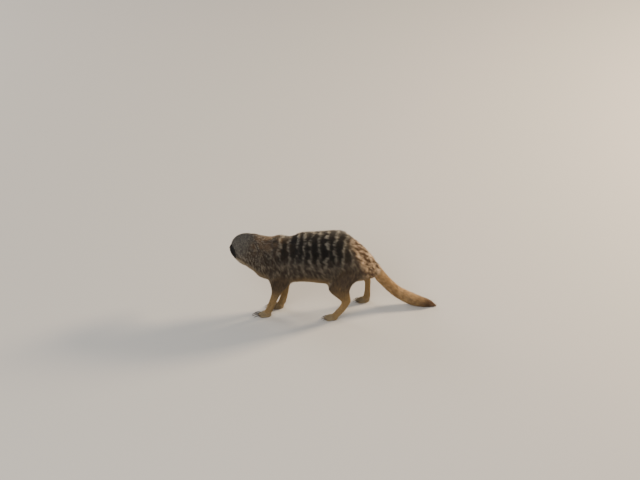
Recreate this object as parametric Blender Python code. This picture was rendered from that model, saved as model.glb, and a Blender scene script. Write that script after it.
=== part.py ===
"""Meerkat walking on all fours, head turned to its right: a still life-size model.

Lengths are in millimetres until to_metres(). The animal faces -Y, its left side is +X, the floor is z = 0.
Every outline is the outline of the coat's tips. Each body part is a smooth tube or ellipsoid; they are melted
into one body, cut flat where they touch the floor, and then divided along thin gaps.
"""

import math

import bmesh
import bpy
from mathutils import Matrix, Vector

# ---------------------------------------------------------------- sizes (mm)
GAP = 0.4               # width of the gaps between neighbouring pieces
VOXEL = 1.5             # grain of the melted body
RING = 28               # corners in one ring of a tube
SMOOTHING = 14          # rounds of smoothing on the melted body
FIRM_BELOW = 12         # height under which feet are smoothed only a little
SOFT_ABOVE = 32         # height over which the body is smoothed in full
BODY_TRIANGLES = 3900   # facets kept on the melted body before it is divided
SOCKET_GAP = 0.3        # gap round eyes, ears and claws where they are let in

# trunk: (y, centre height, half width, half depth), from the breast to the rump
TRUNK = [
    (-76, 97, 15, 17),
    (-68, 100, 24, 28.5),
    (-56, 100.5, 30.5, 39.5),
    (-42, 100, 34, 42.5),
    (-26, 99.5, 35, 40.5),
    (-6, 104, 37, 42),
    (20, 104, 39, 44),
    (40, 103.5, 40, 46),
    (60, 103.5, 39, 45),
    (79, 98, 35, 37.5),
    (93, 93, 29, 31),
    (104, 88, 22, 25),
    (113, 84, 15, 18),
]
TRUNK_TAPER = 0.10      # the back is narrower than the belly by this share

# neck: (x, y, z, half width, half depth); it bends to the animal's right
NECK = [
    (0, -40, 100, 30, 38),
    (-0.5, -60, 104, 30.5, 38.5),
    (-4, -75, 108.8, 27.5, 32.2),
    (-11, -89, 109.8, 25, 29.8),
    (-19, -99, 106, 24, 28.5),
    (-26, -107, 103, 19.5, 24),
    (-31, -112, 101, 11, 14),
]

# head: centre of the braincase, and where it looks
HEAD_CENTRE = (-19.0, -97.0, 111.5)
HEAD_YAW = 80.0         # degrees from straight ahead towards the animal's right
HEAD_PITCH = 20.0       # degrees below level
# head outline along its own axis: (forward, half width, top, bottom)
HEAD = [
    (-25, 10, 9.5, -12),
    (-21, 18, 16.5, -19),
    (-12, 24.5, 22.3, -24.5),
    (0, 26.5, 23.5, -26),
    (10, 25, 22, -24.5),
    (18, 21.8, 18.6, -21.2),
    (25, 17.8, 14.2, -18.4),
    (31, 13.4, 9.2, -16),
    (37, 10.4, 5.6, -14.2),
    (43, 9.0, 3.0, -12.4),
    (48, 7.4, 0.9, -10),
    (51, 5.2, -0.9, -8.4),
    (52.5, 3.4, -2.3, -7.0),
]
NOSE_START = 47.6       # the bare nose begins this far forward
EYE_AT = (25.2, 11.8, 4.4)      # forward, sideways, up
EYE_RADIUS = 4.6
EAR_AT = (-3.5, 21.8, -4.0)     # centre of the ear's cup
EAR_RADII = (6.0, 5.8, 11.5)
EAR_HOLLOW_SHIFT = (3.4, 2.6, 0.0)
EAR_HOLLOW_RADII = (5.6, 5.2, 9.8)
EAR_LEAN = 12.0         # the ear's top leans forward by this many degrees
EAR_TILT = 14.0         # and outward by this many

# tail: (x, y, z, radius)
TAIL = [
    (0, 90, 100, 15),
    (-3, 107, 85.5, 13.5),
    (-7, 119, 70.5, 11.0),
    (-12, 132, 52.0, 10.0),
    (-17, 149, 31.2, 9.8),
    (-18.5, 164, 19.6, 10.0),
    (-17, 179, 12.4, 9.8),
    (-15, 193, 8.4, 8.6),
    (-13.5, 206, 5.7, 6.2),
    (-12.5, 216.5, 2.6, 2.2),
]
TAIL_TIP_FROM = 190.0   # y where the dark tip begins

# legs: (x, y, z, half width, half length fore and aft), from the body down to the foot
FORELEG_LEFT = [
    (19, -47, 92, 14, 21),
    (21, -42, 74, 12.5, 20),
    (21, -43, 60, 10, 14.5),
    (20, -47, 47, 7.6, 9),
    (18.6, -51.5, 34, 6.6, 7.4),
    (18, -57, 19, 6.0, 6.6),
    (18, -61, 9, 6.4, 6.6),
]
FORELEG_RIGHT = [
    (-19, -44, 92, 14, 21),
    (-21, -36, 74, 12.5, 20),
    (-18.5, -33, 60, 10, 14.5),
    (-15, -32.5, 47, 7.6, 9),
    (-12, -33.5, 34, 6.6, 7.2),
    (-9, -36.5, 19, 6.0, 6.6),
    (-8, -40, 9, 6.4, 6.6),
]
HINDLEG_LEFT = [
    (19, 72, 104, 13, 22),
    (23.5, 66, 88, 15.5, 27),
    (27, 58, 70, 14, 23),
    (28.8, 57.5, 56, 11, 17.5),
    (29, 63.5, 44, 8.2, 12.2),
    (28.6, 68, 35.5, 6.4, 8.8),
    (28.4, 65, 27, 6.0, 7.6),
    (28.4, 58.5, 17, 6.2, 7.4),
    (28.4, 51, 8, 6.8, 6.8),
]
HINDLEG_RIGHT = [
    (-18, 78, 102, 13, 20),
    (-22.5, 74, 87, 15, 24),
    (-26, 75, 71, 13, 22),
    (-27.5, 84, 59, 10.5, 17),
    (-27.5, 96, 51, 7.8, 11),
    (-27.2, 104, 43, 6.0, 6.8),
    (-27.2, 105, 32, 5.2, 5.6),
    (-27.2, 104.5, 18, 5.2, 5.6),
    (-27.2, 103.5, 8, 6.4, 6.0),
]

# feet: four toes each; the claws of the fore feet are the long ones
FOOT_RADII = {"fore": (7.4, 8.6, 5.6), "hind": (7.0, 9.6, 5.2)}
FOOT_CENTRE = {
    "forepaw_left": (18, -64, 4.6),
    "forepaw_right": (-8, -43.5, 4.6),
    "hindpaw_left": (28.4, 46, 4.4),
    "hindpaw_right": (-27.2, 100, 4.4),
}
TOE_SIDE = (-5.4, -1.9, 1.9, 5.4)       # each toe's place across the foot
TOE_FORWARD = (6.5, 9.6, 9.6, 6.5)      # each toe's middle, ahead of the foot's centre
TOE_RADII = (2.35, 5.6, 3.1)
TOE_HEIGHT = 2.7
TOE_FAN = 4.0                           # degrees between neighbours
CLAW = {"fore": (12.0, 1.25), "hind": (7.0, 1.05)}      # length, radius at the root
CLAW_ROOT_HEIGHT = 3.6
CLAW_TIP_HEIGHT = 0.9
CLAW_STEPS = 4
CLAW_SIDES = 5

# where the body is divided
LEG_REACH = {"fore": 25, "hind": 29}    # radius of the round part that a leg has in the body's side
LEG_BLEND = 3.5                         # room round a leg's rings, inside its own piece
LEG_BELLY = 50                          # below this height everything on a leg's side is the leg's
LEG_INNER = (11, 1)                     # a leg's piece starts this far from the middle, high and low
PAW_ABOVE = 4.5                         # a foot is parted this far above the leg's last ring
NECK_CUT = ((0, -62, 96), (0, -1, 0.25))        # a point on the plane, and the way the piece lies from it
SKULL_CUT = (-13, 3, 0)                 # in the head's own forward, left and up
SKULL_CUT_TURN = (0.0, -0.55, 0.0)      # the skull's plane is turned by this from square to the head
TAIL_TIP_CUT = (0, 1, -0.15)            # the way the tip lies from its plane

COLOURS = {
    "coat_grey": (0.27, 0.22, 0.17),
    "coat_sand": (0.50, 0.37, 0.20),
    "dark": (0.03, 0.025, 0.02),
    "nose": (0.05, 0.035, 0.03),
    "eye": (0.06, 0.03, 0.015),
    "claw": (0.07, 0.05, 0.035),
}


# ---------------------------------------------------------------- helpers
def new_object(name, mesh_maker):
    """One object whose mesh is filled in by mesh_maker(bm)."""
    bm = bmesh.new()
    mesh_maker(bm)
    bmesh.ops.recalc_face_normals(bm, faces=bm.faces)
    mesh = bpy.data.meshes.new(name)
    bm.to_mesh(mesh)
    bm.free()
    obj = bpy.data.objects.new(name, mesh)
    bpy.context.scene.collection.objects.link(obj)
    return obj


def apply_modifiers(obj):
    """Replaces the mesh by what its modifiers make of it."""
    deps = bpy.context.evaluated_depsgraph_get()
    mesh = bpy.data.meshes.new_from_object(obj.evaluated_get(deps))
    obj.modifiers.clear()
    old, obj.data = obj.data, mesh
    bpy.data.meshes.remove(old)
    return obj


def copy_of(obj, name):
    twin = bpy.data.objects.new(name, obj.data.copy())
    bpy.context.scene.collection.objects.link(twin)
    return twin


def remove(obj):
    mesh = obj.data
    bpy.data.objects.remove(obj)
    bpy.data.meshes.remove(mesh)


def boolean(obj, cutter, operation):
    mod = obj.modifiers.new("cut", "BOOLEAN")
    mod.solver = "EXACT"
    mod.operation = operation
    mod.object = cutter
    return apply_modifiers(obj)


def keep_largest_shell(obj):
    """Drops the crumbs that a cut can leave beside the piece itself."""
    bm = bmesh.new()
    bm.from_mesh(obj.data)
    bmesh.ops.remove_doubles(bm, verts=bm.verts, dist=0.0005)
    left, shells = set(bm.verts), []
    while left:
        shell, edge = set(), [left.pop()]
        while edge:
            v = edge.pop()
            shell.add(v)
            for e in v.link_edges:
                other = e.other_vert(v)
                if other in left:
                    left.discard(other)
                    edge.append(other)
        shells.append(shell)
    keep = max(shells, key=len)
    bmesh.ops.delete(bm, geom=[v for v in bm.verts if v not in keep], context="VERTS")
    bm.to_mesh(obj.data)
    bm.free()


def join(objects, name):
    """All the meshes as loose shells of one object; the sources go."""
    def fill(bm):
        for obj in objects:
            bm.from_mesh(obj.data)
    made = new_object(name, fill)
    for obj in objects:
        remove(obj)
    return made


def catmull_rom(rows, steps):
    """Rows of numbers, smoothly filled in with `steps` rows per span."""
    out = []
    for i in range(len(rows) - 1):
        p0, p1 = rows[max(i - 1, 0)], rows[i]
        p2, p3 = rows[i + 1], rows[min(i + 2, len(rows) - 1)]
        for s in range(steps):
            t = s / steps
            out.append(tuple(
                0.5 * (2 * b + (c - a) * t + (2 * a - 5 * b + 4 * c - d) * t * t
                       + (3 * b - a - 3 * c + d) * t ** 3)
                for a, b, c, d in zip(p0, p1, p2, p3)))
    out.append(tuple(rows[-1]))
    return out


def skin_rings(bm, rings):
    """Quads between neighbouring rings, and a fan over each end."""
    loops = [[bm.verts.new(p) for p in ring] for ring in rings]
    count = len(loops[0])
    for a, b in zip(loops, loops[1:]):
        for i in range(count):
            j = (i + 1) % count
            bm.faces.new((a[i], a[j], b[j], b[i]))
    for loop in (loops[0], loops[-1]):
        middle = bm.verts.new(sum((v.co for v in loop), Vector()) / count)
        for i in range(count):
            bm.faces.new((loop[i], loop[(i + 1) % count], middle))


def tube(name, rows, ring_axes):
    """A tube through rows (x, y, z, half width, half depth); ring_axes gives each ring's side and up."""
    rows = catmull_rom(rows, 4)
    centres = [Vector(r[:3]) for r in rows]
    rings = []
    for i, row in enumerate(rows):
        side, up, taper = ring_axes(i, centres)
        ring = []
        for k in range(RING):
            a = math.tau * k / RING
            wide = row[3] * (1 - taper * math.sin(a))
            ring.append(centres[i] + side * (wide * math.cos(a)) + up * (row[4] * math.sin(a)))
        rings.append(ring)
    return new_object(name, lambda bm: skin_rings(bm, rings))


def along(reference, taper=0.0):
    """Rings square to the tube's own path, with their side vector kept near `reference`."""
    ref = Vector(reference)

    def axes(i, centres):
        ahead = (centres[min(i + 1, len(centres) - 1)] - centres[max(i - 1, 0)]).normalized()
        side = (ref - ahead * ref.dot(ahead)).normalized()
        up = ahead.cross(side).normalized()
        if up.z < 0 or (abs(up.z) < 0.3 and up.y < 0):
            up = -up
        return side, up, taper
    return axes


def upright(i, centres):
    return Vector((1, 0, 0)), Vector((0, 0, 1)), TRUNK_TAPER


def level(i, centres):
    """Rings that lie level, for the legs."""
    return Vector((1, 0, 0)), Vector((0, 1, 0)), 0.0


def ellipsoid(name, radii, matrix, segments=24):
    def fill(bm):
        bmesh.ops.create_uvsphere(bm, u_segments=segments, v_segments=segments // 2, radius=1.0)
        bmesh.ops.transform(bm, matrix=matrix @ Matrix.Diagonal((*radii, 1)), verts=bm.verts)
    return new_object(name, fill)


def box(name, low, high, matrix=Matrix.Identity(4)):
    low, high = Vector(low), Vector(high)

    def fill(bm):
        bmesh.ops.create_cube(bm, size=1.0)
        size = Matrix.Diagonal((*(high - low), 1))
        bmesh.ops.transform(bm, matrix=matrix @ Matrix.Translation((low + high) / 2) @ size, verts=bm.verts)
    return new_object(name, fill)


def prism(name, outline, x_low, x_high):
    """A level prism along X over a closed outline of (y, z)."""
    def fill(bm):
        ends = [[bm.verts.new((x, y, z)) for y, z in outline] for x in (x_low, x_high)]
        n = len(outline)
        for i in range(n):
            j = (i + 1) % n
            bm.faces.new((ends[0][i], ends[0][j], ends[1][j], ends[1][i]))
        bm.faces.new(ends[0])
        bm.faces.new(ends[1])
    return new_object(name, fill)


def head_matrix():
    """From the head's own (forward, left, up) to the model."""
    yaw, pitch = math.radians(HEAD_YAW), math.radians(HEAD_PITCH)
    ahead = Vector((-math.sin(yaw) * math.cos(pitch), -math.cos(yaw) * math.cos(pitch), -math.sin(pitch)))
    left = Vector((math.cos(yaw), -math.sin(yaw), 0))
    up = ahead.cross(left)
    turn = Matrix((ahead, left, up)).transposed().to_4x4()
    return Matrix.Translation(Vector(HEAD_CENTRE)) @ turn


# ---------------------------------------------------------------- the body
def make_trunk():
    return tube("trunk_form", [(0, y, z, w, d) for y, z, w, d in TRUNK], upright)


def make_neck():
    return tube("neck_form", NECK, along((1, 0, 0), 0.05))


def make_head():
    to_model = head_matrix()
    rings = []
    for f, w, top, bottom in catmull_rom(HEAD, 4):
        middle, half = (top + bottom) / 2, (top - bottom) / 2
        rings.append([to_model @ Vector((f, w * math.cos(a), middle + half * math.sin(a)))
                      for a in (math.tau * k / RING for k in range(RING))])
    return new_object("head_form", lambda bm: skin_rings(bm, rings))


def make_tail():
    return tube("tail_form", [(x, y, z, r, r) for x, y, z, r in TAIL], along((1, 0, 0)))


def make_leg(name, rows):
    return tube(name, rows, level)


def toe_frames(paw):
    """Each toe's matrix: its own +Y points back, its origin is the toe's middle."""
    cx, cy, _ = FOOT_CENTRE[paw]
    for k, (side, forward) in enumerate(zip(TOE_SIDE, TOE_FORWARD)):
        fan = math.radians(TOE_FAN * (k - 1.5))
        place = Matrix.Translation((cx + side, cy - forward, TOE_HEIGHT))
        yield place @ Matrix.Rotation(fan, 4, "Z")


def make_foot(paw):
    kind = paw[:4]
    forms = [ellipsoid(paw + "_form", FOOT_RADII[kind], Matrix.Translation(FOOT_CENTRE[paw]))]
    for k, frame in enumerate(toe_frames(paw)):
        forms.append(ellipsoid(f"{paw}_toe{k}", TOE_RADII, frame, 16))
    return forms


def make_whole():
    """All the flesh and coat as one closed body with small flats on the floor."""
    forms = [make_trunk(), make_neck(), make_head(), make_tail()]
    forms += [make_leg("fl", FORELEG_LEFT), make_leg("fr", FORELEG_RIGHT)]
    forms += [make_leg("hl", HINDLEG_LEFT), make_leg("hr", HINDLEG_RIGHT)]
    for paw in FOOT_CENTRE:
        forms += make_foot(paw)
    whole = join(forms, "whole")
    melt = whole.modifiers.new("melt", "REMESH")
    melt.mode = "VOXEL"
    melt.voxel_size = VOXEL
    apply_modifiers(whole)
    soft = whole.vertex_groups.new(name="soft")
    for v in whole.data.vertices:
        share = (v.co.z - FIRM_BELOW) / (SOFT_ABOVE - FIRM_BELOW)
        soft.add([v.index], min(1.0, max(0.25, share)), "REPLACE")
    smooth = whole.modifiers.new("smooth", "SMOOTH")
    smooth.factor = 0.5
    smooth.iterations = SMOOTHING
    smooth.vertex_group = "soft"
    apply_modifiers(whole)
    fewer = whole.modifiers.new("fewer", "DECIMATE")
    triangles = 2 * len(whole.data.polygons)
    fewer.ratio = BODY_TRIANGLES / triangles
    fewer.use_collapse_triangulate = True
    apply_modifiers(whole)
    floor = box("floor_cut", (-200, -300, -60), (200, 300, 0))
    boolean(whole, floor, "DIFFERENCE")
    remove(floor)
    return whole


# ---------------------------------------------------------------- dividing it
def hull(points):
    """The convex outline round points (y, z)."""
    points = sorted(set(points))

    def half(order):
        out = []
        for p in order:
            while len(out) > 1 and ((out[-1][0] - out[-2][0]) * (p[1] - out[-2][1])
                                    - (out[-1][1] - out[-2][1]) * (p[0] - out[-2][0])) <= 0:
                out.pop()
            out.append(p)
        return out[:-1]
    return half(points) + half(points[::-1])


def leg_region(name, rows, reach, grow):
    """Everything of one leg: a part let into the side of the body, and all that is below the belly."""
    sign = 1 if rows[0][0] > 0 else -1
    circles = [(rows[0][1], rows[0][2] - 6, reach)]
    circles += [(y, z, length + LEG_BLEND) for _, y, z, _, length in rows[1:] if z > 42]
    corners = [(round(y + (r + grow) * math.cos(a), 3), round(z + (r + grow) * math.sin(a), 3))
               for y, z, r in circles for a in (math.tau * k / 24 for k in range(24))]
    far_out = sign * 90
    xs = sorted((sign * (LEG_INNER[0] - grow), far_out))
    upper = prism(name, hull(corners), *xs)
    xs = sorted((sign * (LEG_INNER[1] - grow), far_out))
    front = min(y for _, y, *_ in rows) - 40 - grow
    back = max(y for _, y, *_ in rows) + 16 + grow
    lower = box(name + "_low", (xs[0], front, -20), (xs[1], back, LEG_BELLY + grow))
    boolean(upper, lower, "UNION")
    remove(lower)
    return upper


def take(whole, name, region_maker):
    """Cuts the piece `name` out of whole; region_maker(grow) makes the space it fills."""
    piece = copy_of(whole, name)
    space = region_maker(0.0)
    boolean(piece, space, "INTERSECT")
    remove(space)
    space = region_maker(GAP)
    boolean(whole, space, "DIFFERENCE")
    remove(space)
    return piece


def half_space(at, direction, radius=90, deep=150, name="space"):
    """Maker of a box that begins at the plane through `at` and runs along `direction`."""
    def make(grow):
        turn = Vector(direction).normalized().to_track_quat("Z", "Y").to_matrix().to_4x4()
        place = Matrix.Translation(Vector(at)) @ turn
        return box(name, (-radius, -radius, -grow), (radius, radius, deep), place)
    return make


def divide(whole):
    pieces = {}
    to_model = head_matrix()
    ahead = (to_model.to_3x3() @ Vector((1, 0, 0))).normalized()
    for name, rows in (("foreleg_left", FORELEG_LEFT), ("foreleg_right", FORELEG_RIGHT),
                       ("hindleg_left", HINDLEG_LEFT), ("hindleg_right", HINDLEG_RIGHT)):
        def region(grow):
            return leg_region(name + "_space", rows, LEG_REACH[name[:4]], grow)
        pieces[name] = take(whole, name, region)
        paw = name.replace("leg", "paw")
        x, y, z = rows[-1][:3]
        pieces[paw] = take(pieces[name], paw, half_space((x, y, z + PAW_ABOVE), (0, 0, -1), 60, 60))
    tip = half_space((TAIL[-3][0], TAIL_TIP_FROM, 8), TAIL_TIP_CUT, 60, 60)
    base = half_space(TAIL[1][:3], Vector(TAIL[2][:3]) - Vector(TAIL[0][:3]), 34, 170)
    pieces["tail_base"] = take(whole, "tail_base", base)
    pieces["tail_tip"] = take(pieces["tail_base"], "tail_tip", tip)
    front = half_space(*NECK_CUT, 80, 120)
    pieces["neck"] = take(whole, "neck", front)
    skull = half_space(to_model @ Vector(SKULL_CUT), ahead + Vector(SKULL_CUT_TURN), 60, 120)
    pieces["head"] = take(pieces["neck"], "head", skull)
    nose = half_space(to_model @ Vector((NOSE_START, 0, 0)), ahead, 30, 30)
    pieces["nose"] = take(pieces["head"], "nose", nose)
    whole.name = "trunk"
    pieces["trunk"] = whole
    return pieces


# ---------------------------------------------------------------- eyes, ears, claws
def mirrored(at, side):
    return Vector((at[0], side * at[1], at[2]))


def make_eye(side, grow=0.0):
    place = head_matrix() @ Matrix.Translation(mirrored(EYE_AT, side))
    return ellipsoid("eye", (EYE_RADIUS + grow,) * 3, place, 12)


def make_ear(side, grow=0.0):
    """A cup that opens forward and outward."""
    lean = (Matrix.Rotation(math.radians(EAR_LEAN), 4, "Y")
            @ Matrix.Rotation(math.radians(-side * EAR_TILT), 4, "X"))
    place = head_matrix() @ Matrix.Translation(mirrored(EAR_AT, side)) @ lean
    cup = ellipsoid("ear", [r + grow for r in EAR_RADII], place, 14)
    if grow:
        return cup
    place = place @ Matrix.Translation(mirrored(EAR_HOLLOW_SHIFT, side))
    inner = ellipsoid("hollow", EAR_HOLLOW_RADII, place, 14)
    boolean(cup, inner, "DIFFERENCE")
    remove(inner)
    return cup


def make_claw(paw, frame, grow=0.0):
    """A curved, tapering claw whose root is let into the toe."""
    length, radius = CLAW[paw[:4]]
    start = -(TOE_RADII[1] - 2.2)
    rings = []
    for i in range(CLAW_STEPS + 1):
        t = i / CLAW_STEPS
        y = start - length * t + (grow if i == 0 else 0)
        arch = 1.3 * math.sin(math.pi * t) * length / 12
        z = CLAW_ROOT_HEIGHT - TOE_HEIGHT + arch - t * t * (CLAW_ROOT_HEIGHT - CLAW_TIP_HEIGHT)
        r = (radius * (1 - 0.72 * t) + grow)
        rings.append([frame @ Vector((0.8 * r * math.cos(a), y, z + 1.15 * r * math.sin(a)))
                      for a in (math.tau * k / CLAW_SIDES for k in range(CLAW_SIDES))])
    return new_object("claw", lambda bm: skin_rings(bm, rings))


def add_small_parts(pieces):
    for side, word in ((1, "left"), (-1, "right")):
        for what, make in (("eye", make_eye), ("ear", make_ear)):
            socket = make(side, SOCKET_GAP)
            boolean(pieces["head"], socket, "DIFFERENCE")
            if what == "ear":
                boolean(pieces["neck"], socket, "DIFFERENCE")
            remove(socket)
            pieces[f"{what}_{word}"] = make(side)
    for paw in FOOT_CENTRE:
        for k, frame in enumerate(toe_frames(paw)):
            socket = make_claw(paw, frame, SOCKET_GAP)
            boolean(pieces[paw], socket, "DIFFERENCE")
            remove(socket)
            pieces[f"claw_{paw.replace('paw', '')}_{k + 1}"] = make_claw(paw, frame)


# ---------------------------------------------------------------- finish
def paint(pieces):
    looks = {"tail_tip": "dark", "ear_left": "dark", "ear_right": "dark",
             "nose": "nose", "eye_left": "eye", "eye_right": "eye",
             "trunk": "coat_grey", "neck": "coat_grey", "head": "coat_grey"}
    for name, obj in pieces.items():
        look = looks.get(name, "claw" if name.startswith("claw") else "coat_sand")
        material = bpy.data.materials.new(name)
        material.use_nodes = True
        shader = material.node_tree.nodes["Principled BSDF"]
        shader.inputs["Base Color"].default_value = (*COLOURS[look], 1)
        shader.inputs["Roughness"].default_value = 0.25 if look == "eye" else 0.8
        obj.data.materials.clear()
        obj.data.materials.append(material)


def to_metres(pieces):
    """Centres the whole over the origin, keeps the floor at z = 0 and turns millimetres into metres."""
    points = [v.co for obj in pieces.values() for v in obj.data.vertices]
    shift = Vector([-(max(p[i] for p in points) + min(p[i] for p in points)) / 2 for i in (0, 1)] + [0.0])
    change = Matrix.Scale(0.001, 4) @ Matrix.Translation(shift)
    for name, obj in pieces.items():
        obj.name = name
        obj.data.name = name
        obj.data.transform(change)
    print("moved by", [round(c, 3) for c in shift], "mm")


def main():
    for obj in list(bpy.data.objects):
        bpy.data.objects.remove(obj)
    pieces = divide(make_whole())
    add_small_parts(pieces)
    for obj in pieces.values():
        keep_largest_shell(obj)
    paint(pieces)
    to_metres(pieces)
    total = 0
    for name, obj in sorted(pieces.items()):
        obj.data.calc_loop_triangles()
        total += len(obj.data.loop_triangles)
    print(len(pieces), "pieces,", total, "triangles")


main()
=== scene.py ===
# %% [markdown]
# # A walking meerkat
# A life-size meerkat on all fours, its head turned to its right. The solids are made already and say
# where everything is. This lesson gives them a skin with a face, a coat of hair that lies as the real
# one does, wet eyes, a bare nose and horn claws. Lengths are given in millimetres and turned into metres
# where they are used.

# %% Load the solids
import math
from functools import partial

import bmesh
import bpy
import numpy as np
from mathutils import Matrix, Vector


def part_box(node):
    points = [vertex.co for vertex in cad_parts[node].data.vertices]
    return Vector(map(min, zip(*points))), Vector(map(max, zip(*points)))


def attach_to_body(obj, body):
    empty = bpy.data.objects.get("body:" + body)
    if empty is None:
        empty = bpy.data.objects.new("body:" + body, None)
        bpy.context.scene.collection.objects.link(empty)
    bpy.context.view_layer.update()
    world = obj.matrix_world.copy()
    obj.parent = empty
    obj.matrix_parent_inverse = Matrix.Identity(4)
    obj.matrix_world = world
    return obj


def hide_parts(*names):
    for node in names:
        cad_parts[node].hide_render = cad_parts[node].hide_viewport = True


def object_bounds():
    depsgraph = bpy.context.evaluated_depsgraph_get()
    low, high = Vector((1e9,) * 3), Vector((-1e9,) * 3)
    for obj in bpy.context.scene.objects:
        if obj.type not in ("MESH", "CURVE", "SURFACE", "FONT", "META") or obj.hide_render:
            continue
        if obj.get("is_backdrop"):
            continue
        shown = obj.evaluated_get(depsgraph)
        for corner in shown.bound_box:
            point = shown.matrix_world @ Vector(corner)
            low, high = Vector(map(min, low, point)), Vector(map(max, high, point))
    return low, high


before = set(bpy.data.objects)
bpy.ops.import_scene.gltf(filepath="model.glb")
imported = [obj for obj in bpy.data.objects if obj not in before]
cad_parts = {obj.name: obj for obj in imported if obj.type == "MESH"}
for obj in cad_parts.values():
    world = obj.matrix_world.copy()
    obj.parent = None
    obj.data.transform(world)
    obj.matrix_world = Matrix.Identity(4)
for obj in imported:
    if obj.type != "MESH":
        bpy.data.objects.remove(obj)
cad_low, cad_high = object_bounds()
MM = 0.001
print("solids:", len(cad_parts), "size in mm:", [round(s / MM) for s in cad_high - cad_low])

# %% [markdown]
# ## The head's own axes
# A face is easiest to shape in its own terms: how far forward, how far to the left, how far up. The
# eyes' solids say which way is left, and the head dips by a known angle, so three arrows and one point
# turn head terms into places.

# %% Head axes
HEAD_DIP = math.radians(20)
EYE_FORWARD, EYE_SIDE, EYE_UP = 25.2, 11.8, 4.4      # mm, a ball's middle in the head's terms
EYE_BALL = 4.6                                       # mm, its radius
SIDES = {"left": 1, "right": -1}

eye_at = {side: sum(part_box("eye_" + side), Vector()) / 2 for side in SIDES}
head_left = (eye_at["left"] - eye_at["right"]).normalized()
head_level = Vector((head_left.y, -head_left.x, 0)).normalized()
head_ahead = (head_level * math.cos(HEAD_DIP) - Vector((0, 0, 1)) * math.sin(HEAD_DIP)).normalized()
head_up = head_ahead.cross(head_left)
HEAD_TURN = np.array([head_ahead, head_left, head_up])
between_eyes = np.array((eye_at["left"] + eye_at["right"]) / 2)
head_middle = between_eyes - (EYE_FORWARD * HEAD_TURN[0] + EYE_UP * HEAD_TURN[2]) * MM


def size(rows):
    """How long vectors are, one or many."""
    return np.linalg.norm(rows, axis=-1)


def unit(rows):
    """The same ways, 1 long."""
    return rows / np.maximum(size(rows), 1e-9)[..., None]


def to_head(places):
    """Places in metres as (forward, left, up) in millimetres from the middle of the skull."""
    return (np.asarray(places) - head_middle) @ HEAD_TURN.T / MM


def from_head(triples):
    return np.asarray(triples) * MM @ HEAD_TURN + head_middle


print("head looks along", [round(c, 2) for c in head_ahead], "from", np.round(head_middle / MM, 1))

# %% [markdown]
# ## Bones
# Hair lies along the limb it grows on. A few lines of joints, each listed the way the hair runs, are
# enough to work out the hair's direction anywhere on the skin: the nearest lines are blended by how near
# they are. Each joint also holds the limb's half thickness there, so that a thick trunk reaches further
# than a thin leg.

# %% Bone lines
def line(*joints):
    """Joints of (x, y, z, half thickness) in millimetres."""
    return np.array(joints, float)


def paw_line(x, heel, ball, toes):
    return line((x, heel, 9, 6), (x, ball, 5, 6), (x, toes, 2.5, 5))


MID_X = 12.6                       # mm, the body's middle plane
head_line = from_head([(54, 0, -5), (44, 0, -5), (34, 0, -4), (25, 0, -2), (12, 0, 0), (-10, 0, 0)]) / MM
HEAD_THICK = (5, 9, 12, 17, 24, 24)
BONES = {
    "head": np.column_stack([head_line, HEAD_THICK]),
    "neck": line((1.6, -140, 108.5, 25), (5, -134, 108.5, 29), (10.6, -121, 105.5, 33), (12.6, -106, 103, 36),
                 (12.6, -88, 100, 38)),
    "trunk": line((12.6, -108, 98, 33), (12.6, -88, 100, 38), (12.6, -52, 104, 40), (12.6, -6, 103.5, 43),
                  (12.6, 33, 98, 36), (12.6, 58, 88, 23), (12.6, 67, 84, 16)),
    "tail": line((12.6, 52, 93, 15), (9.6, 61, 85.5, 13.5), (5.6, 73, 70.5, 11), (0.6, 86, 52, 10),
                 (-4.4, 103, 31.2, 9.8), (-5.9, 118, 19.6, 10), (-4.4, 133, 12.4, 9.8), (-2.4, 147, 8.4, 8.6),
                 (-0.9, 160, 5.7, 6.2), (0.1, 171, 2.6, 2.2)),
    "foreleg_left": line((33.6, -88, 82, 17), (33.6, -89, 60, 12), (32.6, -93, 47, 8.3), (31.2, -97, 34, 7),
                         (30.6, -103, 19, 6.3), (30.6, -107, 9, 6.5)),
    "foreleg_right": line((-7.5, -83, 83, 17), (-5.8, -79, 60, 12), (-2.3, -78.6, 47, 8.3),
                          (0.7, -79.6, 34, 7), (3.7, -82.6, 19, 6.3), (4.7, -86, 9, 6.5)),
    "hindleg_left": line((36, 20, 88, 24), (39.6, 12, 70, 18), (41.4, 12, 56, 14), (41.6, 17.5, 44, 10),
                         (41.2, 22, 35.5, 7.4), (41, 19, 27, 6.7), (41, 12.5, 17, 6.6), (41, 5, 8, 6.8)),
    "hindleg_right": line((-10, 28, 87, 24), (-13.4, 29, 71, 18), (-14.9, 38, 59, 13), (-14.9, 50, 51, 9),
                          (-14.6, 58, 43, 6.5), (-14.6, 59, 32, 5.4), (-14.6, 59, 18, 5.4),
                          (-14.6, 58, 8, 6)),
    "forepaw_left": paw_line(30.6, -104, -110, -124),
    "forepaw_right": paw_line(4.7, -84, -90, -104),
    "hindpaw_left": paw_line(41, 8, 0, -15),
    "hindpaw_right": paw_line(-14.6, 62, 54, 40),
}
print("bone lines:", len(BONES), "joints:", sum(len(b) for b in BONES.values()))

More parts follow.
